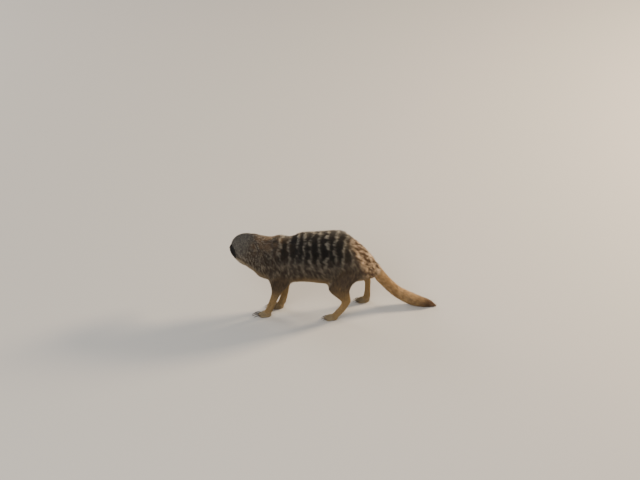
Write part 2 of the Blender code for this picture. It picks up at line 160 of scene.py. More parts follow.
# %% The coat at both ends of each line
# in mm: thickness, hair length, hair width, then hairs per square mm
SHORT_COAT = ((1.0, 2.5, 0.20, 11.0), (0.4, 1.5, 0.17, 16.0))
COAT = {
    "head": ((0.4, 1.6, 0.18, 17.0), (1.7, 7.5, 0.38, 4.6)),
    "neck": ((2.2, 7.0, 0.36, 4.4), (3.8, 9.0, 0.42, 3.3)),
    "trunk": ((4.4, 11.5, 0.50, 2.4), (4.4, 13.0, 0.54, 2.3)),
    "tail": ((3.6, 9.5, 0.42, 3.3), (1.8, 8.0, 0.34, 5.4)),
    "foreleg": ((3.6, 8.5, 0.42, 2.8), (1.3, 2.9, 0.20, 10.0)),
    "hindleg": ((3.8, 9.0, 0.44, 2.5), (1.3, 2.9, 0.20, 10.0)),
    "forepaw": SHORT_COAT,
    "hindpaw": SHORT_COAT,
}
print("hair in mm:", min(end[1] for ends in COAT.values() for end in ends), "to",
      max(end[1] for ends in COAT.values() for end in ends))


# %% Soft steps and hills
def smoothstep(low, high, x):
    """0 at low, 1 at high, smooth between; low may be the larger."""
    t = np.clip((np.asarray(x, float) - low) / (high - low), 0, 1)
    return t * t * (3 - 2 * t)


def hill(x, middle, width):
    """1 at the middle, and next to nothing from twice the width onwards."""
    return np.exp(-((x - middle) / width) ** 2)


print("one width away from its middle a hill is", round(hill(1, 0, 1), 2), "high")

# %% Read the bones at a point
NEAREST, SHARPNESS = 0.3, 9         # nearer than the first all counts alike; the second sharpens the change


def near_line(points, joints):
    """For each point in mm: distance over thickness, the line's direction, how far along from 0 to 1."""
    starts, ends = joints[:-1], joints[1:]
    spans = ends[:, :3] - starts[:, :3]
    lengths = size(spans)
    travelled = np.concatenate([[0], np.cumsum(lengths)])
    best = np.full(len(points), np.inf)
    heading = np.zeros((len(points), 3))
    along = np.zeros(len(points))
    for k in range(len(spans)):
        t = np.clip((points - starts[k, :3]) @ spans[k] / lengths[k] ** 2, 0, 1)
        nearest = starts[k, :3] + t[:, None] * spans[k]
        thick = starts[k, 3] + t * (ends[k, 3] - starts[k, 3])
        ratio = size(points - nearest) / thick
        closer = ratio < best
        best[closer] = ratio[closer]
        heading[closer] = spans[k] / lengths[k]
        along[closer] = ((travelled[k] + t * lengths[k]) / travelled[-1])[closer]
    return best, heading, along


def read_bones(places):
    """Blended direction, coat numbers and share of each bone for places in metres."""
    points = np.asarray(places) / MM
    total = np.zeros(len(points))
    heading = np.zeros((len(points), 3))
    coat = np.zeros((len(points), 4))
    share, reach = {}, {}
    for name, joints in BONES.items():
        ratio, way, along = near_line(points, joints)
        weight = np.maximum(ratio, NEAREST) ** -SHARPNESS
        limb, _, side = name.partition("_")
        if side:
            weight = weight * smoothstep(-4, 4, (points[:, 0] - MID_X) * SIDES[side])
        first, last = np.array(COAT[limb])
        total += weight
        heading += way * weight[:, None]
        coat += weight[:, None] * (first + (last - first) * along[:, None])
        share[name], reach[name] = weight, along
    share = {name: weight / total for name, weight in share.items()}
    return unit(heading), coat / total[:, None], share, reach


print("hair on the middle of the back runs", np.round(read_bones([(MID_X * MM, 0, 0.14)])[0][0], 2))

# %% [markdown]
# ## The skin
# One skin covers the whole animal, so no seam shows where the solids are divided. Copies of the solids
# are swollen a little so that they overlap, melted together on a fine grid and smoothed. The head is the
# exception: its outline is drawn again from rings, finer than the solid, because a face needs more shape
# than a body under hair. Then the whole sheet is drawn in by the thickness of the coat at each place.

# %% Objects and meshes
MERGE = 1e-6            # metres within which two corners are one


def object_of(name, data):
    made = bpy.data.objects.new(name, data)
    bpy.context.scene.collection.objects.link(made)
    return made


def mesh_of(bm, name):
    """A mesh made of the bmesh, which is freed."""
    mesh = bpy.data.meshes.new(name)
    bm.to_mesh(mesh)
    bm.free()
    return mesh


def pour(bm, into):
    """Adds one bmesh to another and frees it."""
    held = mesh_of(bm, "held")
    into.from_mesh(held)
    bpy.data.meshes.remove(held)


def discard(thing):
    mesh = thing.data
    bpy.data.objects.remove(thing)
    bpy.data.meshes.remove(mesh)


def settled(thing):
    """The mesh that the object's modifiers make, as a plain mesh."""
    graph = bpy.context.evaluated_depsgraph_get()
    return bpy.data.meshes.new_from_object(thing.evaluated_get(graph))


def copied(name):
    """A solid's mesh as a bmesh, its doubles merged."""
    solid = bmesh.new()
    solid.from_mesh(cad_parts[name].data)
    bmesh.ops.remove_doubles(solid, verts=solid.verts, dist=MERGE)
    return solid


print("corners of the head's solid once merged:", len(copied("head").verts))

# %% The head from rings
HEAD_RINGS = (          # forward, half width, top, bottom of the head's outline
    (-25, 10, 9.5, -12), (-21, 18, 16.5, -19), (-12, 24.5, 22.3, -24.5), (0, 26.5, 23.5, -26),
    (10, 25, 22, -24.5), (18, 21.8, 18.6, -21.2), (25, 17.8, 14.2, -18.4), (31, 13.4, 9.2, -16),
    (37, 10.4, 5.6, -14.2), (43, 8.8, 2.8, -12.6), (46.5, 7.1, 1.3, -11.2), (49, 5.3, 0.3, -10.2),
    (50.4, 3.8, -1.5, -9.2), (51, 1.8, -3.6, -7.9))
HEAD_CORNERS = 56       # corners in a ring
HEAD_FULL = 0.93        # below 1 the head's cross-section is squarer than an ellipse


def curve_through(rows, steps):
    """Rows of numbers filled in smoothly (Catmull-Rom), `steps` to a span."""
    rows = np.array(rows, float)
    padded = np.vstack([rows[:1], rows, rows[-1:]])
    out = []
    for i in range(len(rows) - 1):
        a, b, c, d = padded[i:i + 4]
        for s in range(steps):
            t = s / steps
            squared, cubed = 2 * a - 5 * b + 4 * c - d, 3 * b - a - 3 * c + d
            out.append(0.5 * (2 * b + (c - a) * t + squared * t * t + cubed * t ** 3))
    return np.array(out + [rows[-1]])


def circle(count):
    """The angles of `count` corners round a ring."""
    return np.linspace(0, math.tau, count, endpoint=False)


def tube_of(bm, rings):
    """Quads between rings of places; gives the rings' corners back."""
    loops = [[bm.verts.new(p) for p in ring] for ring in rings]
    count = len(loops[0])
    for one, two in zip(loops, loops[1:]):
        for i in range(count):
            bm.faces.new((one[i], one[(i + 1) % count], two[(i + 1) % count], two[i]))
    return loops


def head_form(bm):
    rings = []
    turns = circle(HEAD_CORNERS)
    across, upward = (np.sign(wave) * np.abs(wave) ** HEAD_FULL for wave in (np.cos(turns), np.sin(turns)))
    for f, half, top, bottom in curve_through(HEAD_RINGS, 5):
        middle, tall = (top + bottom) / 2, (top - bottom) / 2
        ring = [np.full(HEAD_CORNERS, f), half * across, middle + tall * upward]
        rings.append(from_head(np.column_stack(ring)))
    for loop in tube_of(bm, rings)[::len(rings) - 1]:
        middle = bm.verts.new(np.mean([v.co for v in loop], axis=0))
        for i in range(len(loop)):
            bm.faces.new((loop[i], loop[(i + 1) % len(loop)], middle))
    bmesh.ops.recalc_face_normals(bm, faces=bm.faces)


drawn_head = bmesh.new()
head_form(drawn_head)
print("head:", len(drawn_head.verts), "corners")

# %% Melt the solids into one sheet
SWELL = 0.45            # mm, more than half of the gaps between the solids
HEAD_SHRINK = -1.2      # mm, so that the rings below draw the face and the solid only fills the throat
SKIN_GRAIN = 1.25       # mm

melt = bmesh.new()
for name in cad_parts:
    if name.startswith(("claw", "eye", "ear", "nose")):
        continue
    solid = copied(name)
    solid.normal_update()
    for v in solid.verts:
        v.co += v.normal * (HEAD_SHRINK if name == "head" else SWELL) * MM
    pour(solid, melt)
pour(drawn_head, melt)
sheet = object_of("melt", mesh_of(melt, "melt"))
grain = sheet.modifiers.new("grain", "REMESH")
grain.mode, grain.voxel_size = "VOXEL", SKIN_GRAIN * MM
melted = settled(sheet)
discard(sheet)
print("melted sheet:", len(melted.vertices), "corners")


# %% Read, write and smooth a mesh's numbers
def read(items, field, width=3, kind=float):
    """One row of numbers for each item of a mesh."""
    flat = np.empty(len(items) * width, kind)
    items.foreach_get(field, flat)
    return flat.reshape(-1, width)


def corners_of(mesh):
    return read(mesh.vertices, "co")


def normals_of(mesh):
    return read(mesh.vertices, "normal")


def edges_of(mesh):
    return read(mesh.edges, "vertices", 2, int)


def put_corners(mesh, places):
    mesh.vertices.foreach_set("co", np.ascontiguousarray(places, dtype=np.float32).ravel())
    mesh.update()


def averaged(values, edges, rounds, strength=1.0):
    """Each value moved towards the mean of its neighbours; strength may differ from corner to corner."""
    count, shape = len(values), np.shape(values)
    values = np.array(values, float).reshape(count, -1)
    strength = np.reshape(strength, (-1, 1))
    linked = np.bincount(edges.ravel(), minlength=count)[:, None]
    for _ in range(rounds):
        total = np.column_stack([
            sum(np.bincount(edges[:, here], values[edges[:, 1 - here], k], count) for here in (0, 1))
            for k in range(values.shape[1])])
        values = values + strength * (total / linked - values)
    return values.reshape(shape)


def face_part(places):
    """1 on the front of the head, 0 behind the ears and on the neck."""
    f, l, u = to_head(places).T
    near = np.sqrt(l ** 2 + (u + 2) ** 2)
    return smoothstep(2, 12, f) * smoothstep(30, 24, near) * (f < 60)


places = corners_of(melted)
edges = edges_of(melted)
on_face = face_part(places)
print("corners on the face:", int((on_face > 0.5).sum()), "of", len(places))

# %% Draw it in under the coat
SMOOTHING, AFTER_SMOOTHING = 14, 6      # rounds before and after
FACE_COAT = 0.45                        # mm at the muzzle, twice that at the ears
SOLE_LIFT, SOLE_ZONE = 0.75, 3          # mm: soles this high come down to the floor, spread over the zone

settle = (0.10 + 0.50 * smoothstep(10, 34, places[:, 2] / MM)) * (1 - 0.75 * on_face)
places = averaged(places, edges, SMOOTHING, settle)
put_corners(melted, places)
_, coat, _, _ = read_bones(places)
on_face = face_part(places)
f = to_head(places)[:, 0]
depth = coat[:, 0] + on_face * (FACE_COAT * (1 + smoothstep(50, 24, f)) - coat[:, 0])
depth = averaged(depth, edges, 10)
facing = unit(averaged(normals_of(melted), edges, 3))
places = places - facing * depth[:, None] * MM
places = averaged(places, edges, AFTER_SMOOTHING, settle * 0.8)
height = places[:, 2] / MM
sole = (height - SOLE_LIFT) * SOLE_ZONE / (SOLE_ZONE - SOLE_LIFT)
places[:, 2] = np.where(height < SOLE_ZONE, np.maximum(0, sole), height) * MM
put_corners(melted, places)
print("coat thickness in mm:", round(depth.min(), 2), "to", round(depth.max(), 2))
print("skin box in mm:", np.round(places.min(0) / MM), np.round(places.max(0) / MM))

# %% [markdown]
# ## Fine where it matters
# The grid of the melt is as fine as the toes need, which is far finer than a back under long hair needs.
# The Decimate modifier takes corners away where a weight allows it, so toes and face keep theirs. The
# front of the head is then divided again, because lids, lips and nostrils are only a few tenths of a
# millimetre wide.

# %% Thin the body
BODY_KEEP = 0.42        # share of the faces that stays
PLAIN_WEIGHT = 10       # how strongly the weights steer the thinning


def weigh(thing, name, weights, levels=20):
    """A vertex group whose weights are rounded to a few levels."""
    group = thing.vertex_groups.new(name=name)
    steps = np.round(np.clip(weights, 0, 1) * levels).astype(int)
    for step in range(1, levels + 1):
        chosen = np.flatnonzero(steps == step)
        if len(chosen):
            group.add(chosen.tolist(), step / levels, "REPLACE")


sheet = object_of("sheet", melted)
places = corners_of(melted)
keep_fine = np.maximum(face_part(places), smoothstep(22, 12, places[:, 2] / MM))
weigh(sheet, "plain", 1 - keep_fine)
thin = sheet.modifiers.new("thin", "DECIMATE")
thin.ratio, thin.vertex_group, thin.vertex_group_factor = BODY_KEEP, "plain", PLAIN_WEIGHT
thinned = settled(sheet)
discard(sheet)
print("thinned sheet:", len(thinned.vertices), "corners,", len(thinned.polygons), "faces")

# %% Divide the face and the feet
FEET = ("fore_left", "fore_right", "hind_left", "hind_right")
EYE_ZONE, FOOT_ZONE = 9.5, 17       # mm round an eye's middle and round a foot's toes
CLAW_INSET = 1.1                    # mm from the side of a claw's box to its root


def divide(bm, inside):
    """Each edge whose two ends are inside is cut in half, and the new places are settled a little."""
    places = np.array([v.co[:] for v in bm.verts])
    chosen = inside(places)
    bm.verts.index_update()
    edges = [e for e in bm.edges if chosen[e.verts[0].index] and chosen[e.verts[1].index]]
    bmesh.ops.subdivide_edges(bm, edges=edges, cuts=1, use_grid_fill=True)
    bmesh.ops.triangulate(bm, faces=[f for f in bm.faces if len(f.verts) > 3])
    bm.verts.ensure_lookup_table()
    places = np.array([v.co[:] for v in bm.verts])
    again = [bm.verts[i] for i in np.flatnonzero(inside(places))]
    bmesh.ops.smooth_vert(bm, verts=again, factor=0.5, use_axis_x=True, use_axis_y=True, use_axis_z=True)


def near_eyes(places):
    return np.minimum(*[size(places - np.array(at)) for at in eye_at.values()]) < EYE_ZONE * MM


def claws_of(foot):
    return [f"claw_{foot}_{k}" for k in (1, 2, 3, 4)]


def claw_roots(foot):
    """Where the foot's four claws leave their toes, in mm, from the inner edge outwards."""
    boxes = [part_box(name) for name in claws_of(foot)]
    middle = sum((low.x + high.x) / 2 for low, high in boxes) / 4
    inset = CLAW_INSET * MM
    roots = [(min(max(middle, low.x + inset), high.x - inset), high.y, high.z) for low, high in boxes]
    return np.array(sorted(roots)) / MM


def near_feet(places):
    middles = [claw_roots(foot).mean(0) + (0, 8, -2) for foot in FEET]
    return np.min([size(places / MM - middle) for middle in middles], axis=0) < FOOT_ZONE


skin = bmesh.new()
skin.from_mesh(thinned)
bpy.data.meshes.remove(thinned)
divide(skin, lambda p: face_part(p) > 0.3)
divide(skin, near_feet)
divide(skin, lambda p: near_eyes(p) | ((face_part(p) > 0.5) & (to_head(p)[:, 0] > 38)))
print("divided sheet:", len(skin.verts), "corners")

# %% [markdown]
# ## The face
# Each feature is a rule in the head's own terms. The skin round an eye is pushed to a distance from the
# ball's middle, the mouth is a groove along a line, and pads and brows are soft swellings. Working from
# rules keeps both sides alike.

# %% Where an eye looks
LOOK = {side: unit(np.array([0.60, 0.77 * sign, 0.20])) for side, sign in SIDES.items()}
OPEN_ACROSS, OPEN_TALL = 60.0, 40.0      # half angles of the lids' opening, in degrees
OPEN_BELOW = 0.88                        # share of that height under the middle
ALMOND = 1.6                             # 2 would make the opening an ellipse
EYE_SLANT = 12.0                         # the inner corner sits lower by this many degrees


def eye_axes(side):
    """The ball's middle, the way it looks, and the two axes across that, in the head's terms."""
    middle = np.array([EYE_FORWARD, EYE_SIDE * SIDES[side], EYE_UP])
    gaze = LOOK[side]
    level = unit(np.cross([0, 0, 1], gaze))
    plumb = np.cross(gaze, level)
    slant = math.radians(EYE_SLANT) * SIDES[side]
    across = level * math.cos(slant) + plumb * math.sin(slant)
    return middle, gaze, across, plumb * math.cos(slant) - level * math.sin(slant)


def round_eye(points, side):
    """Head points as the distance from the ball's middle, the angle from its gaze and the turn round it."""
    middle, gaze, across, tall = eye_axes(side)
    offset = points - middle
    away = size(offset)
    angle = np.degrees(np.arccos(np.clip(offset @ gaze / np.maximum(away, 1e-6), -1, 1)))
    return away, angle, np.arctan2(offset @ tall, offset @ across)


def opening(turn):
    """Half angle of the opening: an almond, a little fuller above."""
    width = np.abs(np.cos(turn)) / OPEN_ACROSS
    height = np.abs(np.sin(turn)) / (OPEN_TALL * np.where(np.sin(turn) > 0, 1.0, OPEN_BELOW))
    return (width ** ALMOND + height ** ALMOND) ** (-1 / ALMOND)


print("the eyes look along", {side: np.round(way, 2).tolist() for side, way in LOOK.items()})


# %% Brows, cheeks and mouth
MOUTH_FRONT, MOUTH_UP = 47.5, -8.3       # mm, where the lips meet under the nose


def mouth_height(f):
    """The mouth's line drops towards the cheek and levels out there."""
    back = MOUTH_FRONT - f
    return MOUTH_UP - 0.17 * back + 0.0021 * back ** 2


BUMPS = (               # middle, radius and height of soft swellings on both sides of the face
    ((23, 13, 14), (7, 5.5, 3.5), 1.0),             # brow
    ((17, 19, -4), (9, 6, 5), 0.8),                 # cheek bone
    ((42.5, 7, -5.4), (5, 3.5, 2.8), 0.8),          # whisker pad
    ((33, 9, 1.5), (5, 4, 4), -0.5))                # hollow before the eye


def bump_at(points, middle, radius, height):
    gaps = [size((points - np.array(middle) * (1, sign, 1)) / radius) for sign in SIDES.values()]
    return sum(height * hill(gap, 0, 1) for gap in gaps)


skin_mesh = mesh_of(skin, "skin")
points = to_head(corners_of(skin_mesh))
outward = normals_of(skin_mesh) @ HEAD_TURN.T
f, l, u = points.T
swell = sum(bump_at(points, *bump) for bump in BUMPS)
swell -= 0.5 * hill(f, 31, 4) * hill(l, 0, 4) * (u > 0)         # dip of the nose bridge
gap = u - mouth_height(f)
on_mouth = smoothstep(19, 24, f) * smoothstep(48.5, 47, f)
swell -= 0.95 * hill(gap, 0, 0.55) * on_mouth                   # groove between the lips
swell += 0.35 * hill(gap, 1.3, 0.9) * on_mouth                  # upper lip
under_lip = smoothstep(0.3, -1.2, gap) * hill(gap, -2, 3.5)
swell -= 0.6 * under_lip * on_mouth                             # lower jaw stands back
cleft = hill(l, 0, 0.4) * smoothstep(45, 47, f) * (gap > -0.4) * (u < -4)
swell -= 0.6 * cleft                                            # cleft under the nose
on_face = face_part(corners_of(skin_mesh)) > 0.02
points[on_face] += (outward * swell[:, None])[on_face]
lower = (smoothstep(-0.2, -1.5, gap) * smoothstep(30, 46, f))[:, None] * on_face[:, None]
points -= lower * np.column_stack([np.full(len(f), 1.6), 0.06 * l, 0 * u])
print("swellings in mm:", round(swell[on_face].min(), 2), "to", round(swell[on_face].max(), 2))

# %% Sockets
SOCKET_DEEP, LID_RISE = 1.2, 1.75       # mm under the ball's surface, and mm up from there to the lids
SOCKET_REACH, SOCKET_TURN = 12, 125     # mm from the ball's middle and degrees from its gaze

for side in eye_at:
    away, angle, turn = round_eye(points, side)
    middle = eye_axes(side)[0]
    edge = opening(turn)
    wanted = EYE_BALL - SOCKET_DEEP + LID_RISE * smoothstep(4, 20, angle - edge)
    hold = smoothstep(46, 16, angle - edge)
    chosen = (angle < SOCKET_TURN) & (away < SOCKET_REACH) & on_face
    stretch = (away + hold * (wanted - away)) / np.maximum(away, 1e-6)
    points[chosen] = (middle + (points - middle) * stretch[:, None])[chosen]
    print("skin round the", side, "eye:", int(chosen.sum()), "corners")
put_corners(skin_mesh, from_head(points))

# %% [markdown]
# ## Toes
# Four toes lie side by side on each foot, with a groove between each pair that deepens towards the tips.
# A claw leaves each toe a little above its pad. The grooves are pressed into the skin between the claws,
# whose places are known.

# %% Toes
TOE_GROOVE, KNUCKLE = 2.3, 0.7     # mm deep at the tips, and mm high over each toe's joint
GROOVE_WIDTH, TOE_NARROWS = 0.8, 0.012      # mm to each side, and how much the toes close up per mm

places = corners_of(skin_mesh)
facing = normals_of(skin_mesh)
for foot in FEET:
    roots = claw_roots(foot)
    x, y, z = (places / MM).T
    near = size(places / MM - (roots.mean(0) + (0, 6, -2))) < 16
    back = y - np.interp(x, roots[:, 0], roots[:, 1])
    narrow = 1 - TOE_NARROWS * np.clip(back, -3, 14)
    across = (x - roots[:, 0].mean()) / narrow + roots[:, 0].mean()
    groove = np.zeros(len(x))
    for left, right in zip(roots[:-1, 0], roots[1:, 0]):
        groove = np.maximum(groove, hill(across, (left + right) / 2, GROOVE_WIDTH))
    on_toe = np.min([np.abs(across - r) for r in roots[:, 0]], axis=0)
    knuckle = KNUCKLE * hill(on_toe, 0, 1.3) * hill(back, 5, 2.4)
    pressed = TOE_GROOVE * groove * smoothstep(12, 2, back) - knuckle
    upper = smoothstep(-0.6, 0.1, facing[:, 2]) * near
    places -= facing * (pressed * upper)[:, None] * MM
    print("toes of the", foot, "foot:", int(near.sum()), "corners, spread", np.round(np.diff(roots[:, 0]), 1))
places[:, 2] = np.maximum(places[:, 2], 0)
put_corners(skin_mesh, places)

# %% [markdown]
# ## Lids and ears
# A lid is a rolled edge of bare skin that fits the ball, and an ear is a thin cup with a folded rim.
# Both are too fine and too regular to come out of the melted sheet, so they are made as their own grids
# and set into it. They belong to the same skin object, and the hair hides where they go in.

# %% Lids
LID_ROLL = (            # degrees past the opening's edge, and mm above the ball
    (-9, -0.5), (-3.5, -0.05), (-1.2, 0.16), (0.4, 0.30), (2.5, 0.44), (5, 0.52), (9, 0.52), (14, 0.40),
    (20, 0.15), (28, -0.3))
LID_STEPS = 90


def spokes_of(turns, across, tall):
    """The way from the gaze out to each turn round it."""
    return np.cos(turns)[:, None] * across + np.sin(turns)[:, None] * tall


def lid(bm, side):
    middle, gaze, across, tall = eye_axes(side)
    turns = circle(LID_STEPS)
    rows = []
    for beyond, rise in LID_ROLL:
        angle = np.radians(opening(turns) + beyond)
        crease = 0.05 * np.sin(turns * 11) * smoothstep(5, 14, beyond)
        away = EYE_BALL + rise + crease
        ray = np.cos(angle)[:, None] * gaze + np.sin(angle)[:, None] * spokes_of(turns, across, tall)
        rows.append(from_head(middle + ray * away[:, None]))
    tube_of(bm, rows)


trial = bmesh.new()
lid(trial, "left")
print("one lid:", len(trial.faces), "faces")

# %% Ears
EAR_AT = (-3.5, 21.8, -4.0)
EAR_SIZE = (5.6, 5.4, 10.9)         # along the opening's axis, across it and up, in mm
EAR_OPENS = (0.79, 0.61)            # forward and outward
EAR_RIM = 104                       # degrees from the cup's back
EAR_WALL = 0.22                     # of the cup's size
EAR_FOLDS = ((0.10, 72, 9), (0.06, 44, 8))      # deep, and in degrees from the back where and how wide
EAR_LEAN = (12, 14)                 # degrees back and in
EAR_CORNERS = 64


def capped_tube(bm, rings):
    loops = tube_of(bm, rings)
    for loop in (loops[0], loops[-1]):
        bm.faces.new(loop)


def ear_cup(bm, side):
    sign = SIDES[side]
    out = np.array([EAR_OPENS[0], EAR_OPENS[1] * sign, 0])
    up = np.array([0, 0, 1.0])
    sideways = np.cross(up, out)
    back, inward = (math.radians(angle) for angle in EAR_LEAN)
    lean = np.array(Matrix.Rotation(back, 3, "Y") @ Matrix.Rotation(-sign * inward, 3, "X"))
    middle = np.array(EAR_AT) * (1, sign, 1)
    turns = circle(EAR_CORNERS)

    def shell(angle, shrink, shift):
        polar = np.radians(angle)
        along = -np.cos(polar) * EAR_SIZE[0] * shrink + shift
        spread = np.sin(polar) * shrink
        tall = EAR_SIZE[2] * np.where(np.cos(turns) > 0, 1.0, 0.86)
        high, broad = np.cos(turns) * spread * tall, np.sin(turns) * spread * EAR_SIZE[1]
        place = out * along + high[:, None] * up + broad[:, None] * sideways
        return from_head(middle + place @ lean.T)

    rows = [shell(a, 1.0, 0.0) for a in (4, 14, 26, 38, 50, 62, 74, 86, 96, EAR_RIM)]
    rows += [shell(EAR_RIM + 4, 0.95, 0.25), shell(EAR_RIM + 2, 0.88, 0.2)]
    for a in (96, 86, 76, 66, 56, 46, 36, 26, 14, 4):
        fold = sum(deep * hill(a, at, wide) for deep, at, wide in EAR_FOLDS)
        rows.append(shell(a, 1 - EAR_WALL - fold, 0.5))
    capped_tube(bm, rows)


trial = bmesh.new()
ear_cup(trial, "left")
print("one ear:", len(trial.faces), "faces")

# %% Set lids and ears into the skin
skin = bmesh.new()
skin.from_mesh(skin_mesh)
kind = skin.verts.layers.float.new("kind")      # 0 sheet, 1 lid, 2 ear
for side in eye_at:
    for number, make in ((1, lid), (2, ear_cup)):
        before = len(skin.verts)
        own = bmesh.new()
        make(own, side)
        bmesh.ops.triangulate(own, faces=own.faces)
        bmesh.ops.recalc_face_normals(own, faces=own.faces)
        outward = sum(f.normal.dot(f.calc_center_median() - eye_at[side]) for f in own.faces)
        if number == 1 and outward < 0:
            bmesh.ops.reverse_faces(own, faces=own.faces)
        pour(own, skin)
        skin.verts.ensure_lookup_table()
        for v in skin.verts[before:]:
            v[kind] = number
skin.to_mesh(skin_mesh)
skin.free()
skin_mesh.update()
print("skin:", len(skin_mesh.vertices), "corners,", len(skin_mesh.polygons), "faces")


# %% [markdown]
# ## What each place of skin grows
# The coat is planned on the skin before any hair is made. Each corner learns which way its hair lies,
# how long, wide and dense it is, how far it stands off, and which part of the animal it is on. Hair and
# skin later read the same plan, so their markings agree. A meerkat's coat is long and loose on the body,
# short on the legs and like velvet on the face.

# %% Which way the hair lies
def in_tangent(vectors, normals):
    return unit(vectors - normals * np.sum(vectors * normals, axis=1)[:, None])


places = corners_of(skin_mesh)
normals = normals_of(skin_mesh)
edges = edges_of(skin_mesh)
kind = read(skin_mesh.attributes["kind"].data, "value", 1)[:, 0]
heading, coat, share, reach = read_bones(places)
x, y, z = (places / MM).T
points = to_head(places)
f, l, u = points.T

side_on = np.abs(normals[:, 0])
falls = share["trunk"] * (0.8 + 0.5 * smoothstep(-50, -90, y)) + 1.3 * share["neck"]
heading = heading + np.array([0, 0, -1.0]) * (falls * side_on)[:, None]
ear_gap = np.full(len(places), 99.0)
for sign in SIDES.values():
    middle = from_head(np.array(EAR_AT) * (1, sign, 1))
    away = size(places - middle) / MM
    ear_gap = np.minimum(ear_gap, away)
    heading[(kind == 2) & (away < 20)] = unit(np.array([-0.45, 0.75 * sign, 0.35]) @ HEAD_TURN)
lie = in_tangent(heading, normals)
lie = in_tangent(averaged(lie, edges, 8), normals)

eye_gap, lid_zone = np.full(len(places), 99.0), np.zeros(len(places))
for side in eye_at:
    away, angle, turn = round_eye(points, side)
    eye_gap = np.minimum(eye_gap, np.where(angle < SOCKET_TURN, away, 99))
    near = (away < SOCKET_REACH) & (angle < 110)
    past = angle - opening(turn)
    hidden = np.where(kind == 1, smoothstep(6, 3.5, past), smoothstep(20, 15, past))
    lid_zone[near] = np.maximum(lid_zone[near], hidden[near])
    spokes = spokes_of(turn, *eye_axes(side)[2:]) @ HEAD_TURN
    turned = (smoothstep(34, 6, past) * near)[:, None]
    lie = in_tangent(lie * (1 - turned) + spokes * turned, normals)
print("skin under a lid or in a socket:", int((lid_zone > 0.5).sum()), "corners")

# %% How long, wide and dense it is
HAIR_SHARE = 0.80                   # one number for the whole coat's density
NOSE_AT, NOSE_SIZE = (47.7, 0.0, -3.3), (4.5, 4.5, 3.6)

on_head = share["head"] * (f > -30)
length, width, dense = coat[:, 1].copy(), coat[:, 2].copy(), coat[:, 3].copy()
brow, nape = smoothstep(50, 24, f), smoothstep(16, -18, f)
head_length = 1.3 + 1.3 * brow + 5.2 * nape
head_width = 0.19 + 0.07 * brow + 0.2 * nape
head_dense = 14 - 3.4 * brow - 6 * nape
for values, own in ((length, head_length), (width, head_width), (dense, head_dense)):
    values += on_head * (own - values)
close = smoothstep(20, 12, ear_gap)
length += close * on_head * (2.6 - length)
length[kind == 2], width[kind == 2], dense[kind == 2] = 2.2, 0.22, 11
length *= 0.60 + 0.40 * smoothstep(5, 11, eye_gap)
dense *= 1 + 0.35 * smoothstep(10, 6, eye_gap)
nose_gap = size((points - NOSE_AT) / (np.array(NOSE_SIZE) + 0.2))
length *= 0.62 + 0.38 * smoothstep(1.0, 1.8, nose_gap)
length, width, dense = (averaged(v, edges, 4) for v in (length, width, dense))
rump = smoothstep(28, 52, y) * share["trunk"]
belly = smoothstep(0.1, 0.8, -normals[:, 2]) * share["trunk"]
length *= 1 - 0.05 * rump - 0.25 * belly
paws = sum(share[p] for p in BONES if "paw" in p)
underside = smoothstep(0.35, 0.75, -normals[:, 2]) * paws
lips = hill(u, mouth_height(f), 0.6) * smoothstep(22, 26, f) * on_head
under_nose = smoothstep(1.04, 0.94, nose_gap)
bare = np.maximum.reduce([lid_zone, underside * smoothstep(6, 3, z), under_nose, lips])
dense = dense * HAIR_SHARE * (1 - bare)
dense[(z < 1.2) & (normals[:, 2] < -0.3)] = 0
# degrees off the skin
lift = 16 + 3 * share["trunk"] - 3 * on_head - 4 * paws - 2 * rump - 2 * share["tail"]
lift = lift - 5 * (kind == 2)
print("hair stands off by", round(lift.min(), 1), "to", round(lift.max(), 1), "degrees")

# %% Share it out in pieces
skin_mesh.calc_loop_triangles()
corner = read(skin_mesh.loop_triangles, "vertices", 3, int)
first, second, third = (places[corner[:, k]] for k in range(3))
area = size(np.cross(second - first, third - first)) / 2 / MM ** 2
wanted = area * dense[corner].mean(1)
print("hairs wanted:", int(wanted.sum()), "on", round(area.sum()), "square mm")

LEGS = ("foreleg_left", "foreleg_right", "hindleg_left", "hindleg_right")
PIECES = ("face", "crown", "neck", "shoulders", "back", "loins", "rump", *LEGS, "feet", "tail")
TRUNK_CUTS = (-np.inf, -62, -22, 20, np.inf)        # y in mm, where one part of the trunk's coat ends
trunk_parts = [share["trunk"] * (y >= start) * (y < end) for start, end in zip(TRUNK_CUTS, TRUNK_CUTS[1:])]
owner = np.argmax([share["head"] * (f > 12), share["head"] * (f <= 12), share["neck"], *trunk_parts,
                   *[share[leg] for leg in LEGS], paws, share["tail"]], axis=0)
per_face = owner[corner[:, 0]]
for number, name in enumerate(PIECES):
    print("coat", name, "hairs:", int(wanted[per_face == number].sum()))


# %% Write the plan on the skin
def attach(mesh, name, values, domain="POINT"):
    values = np.asarray(values, float)
    kind, field = {1: ("FLOAT", "value"), 2: ("FLOAT_VECTOR", "vector")}[values.ndim]
    made = mesh.attributes.new(name, kind, domain)
    made.data.foreach_set(field, np.ascontiguousarray(values, np.float32).ravel())


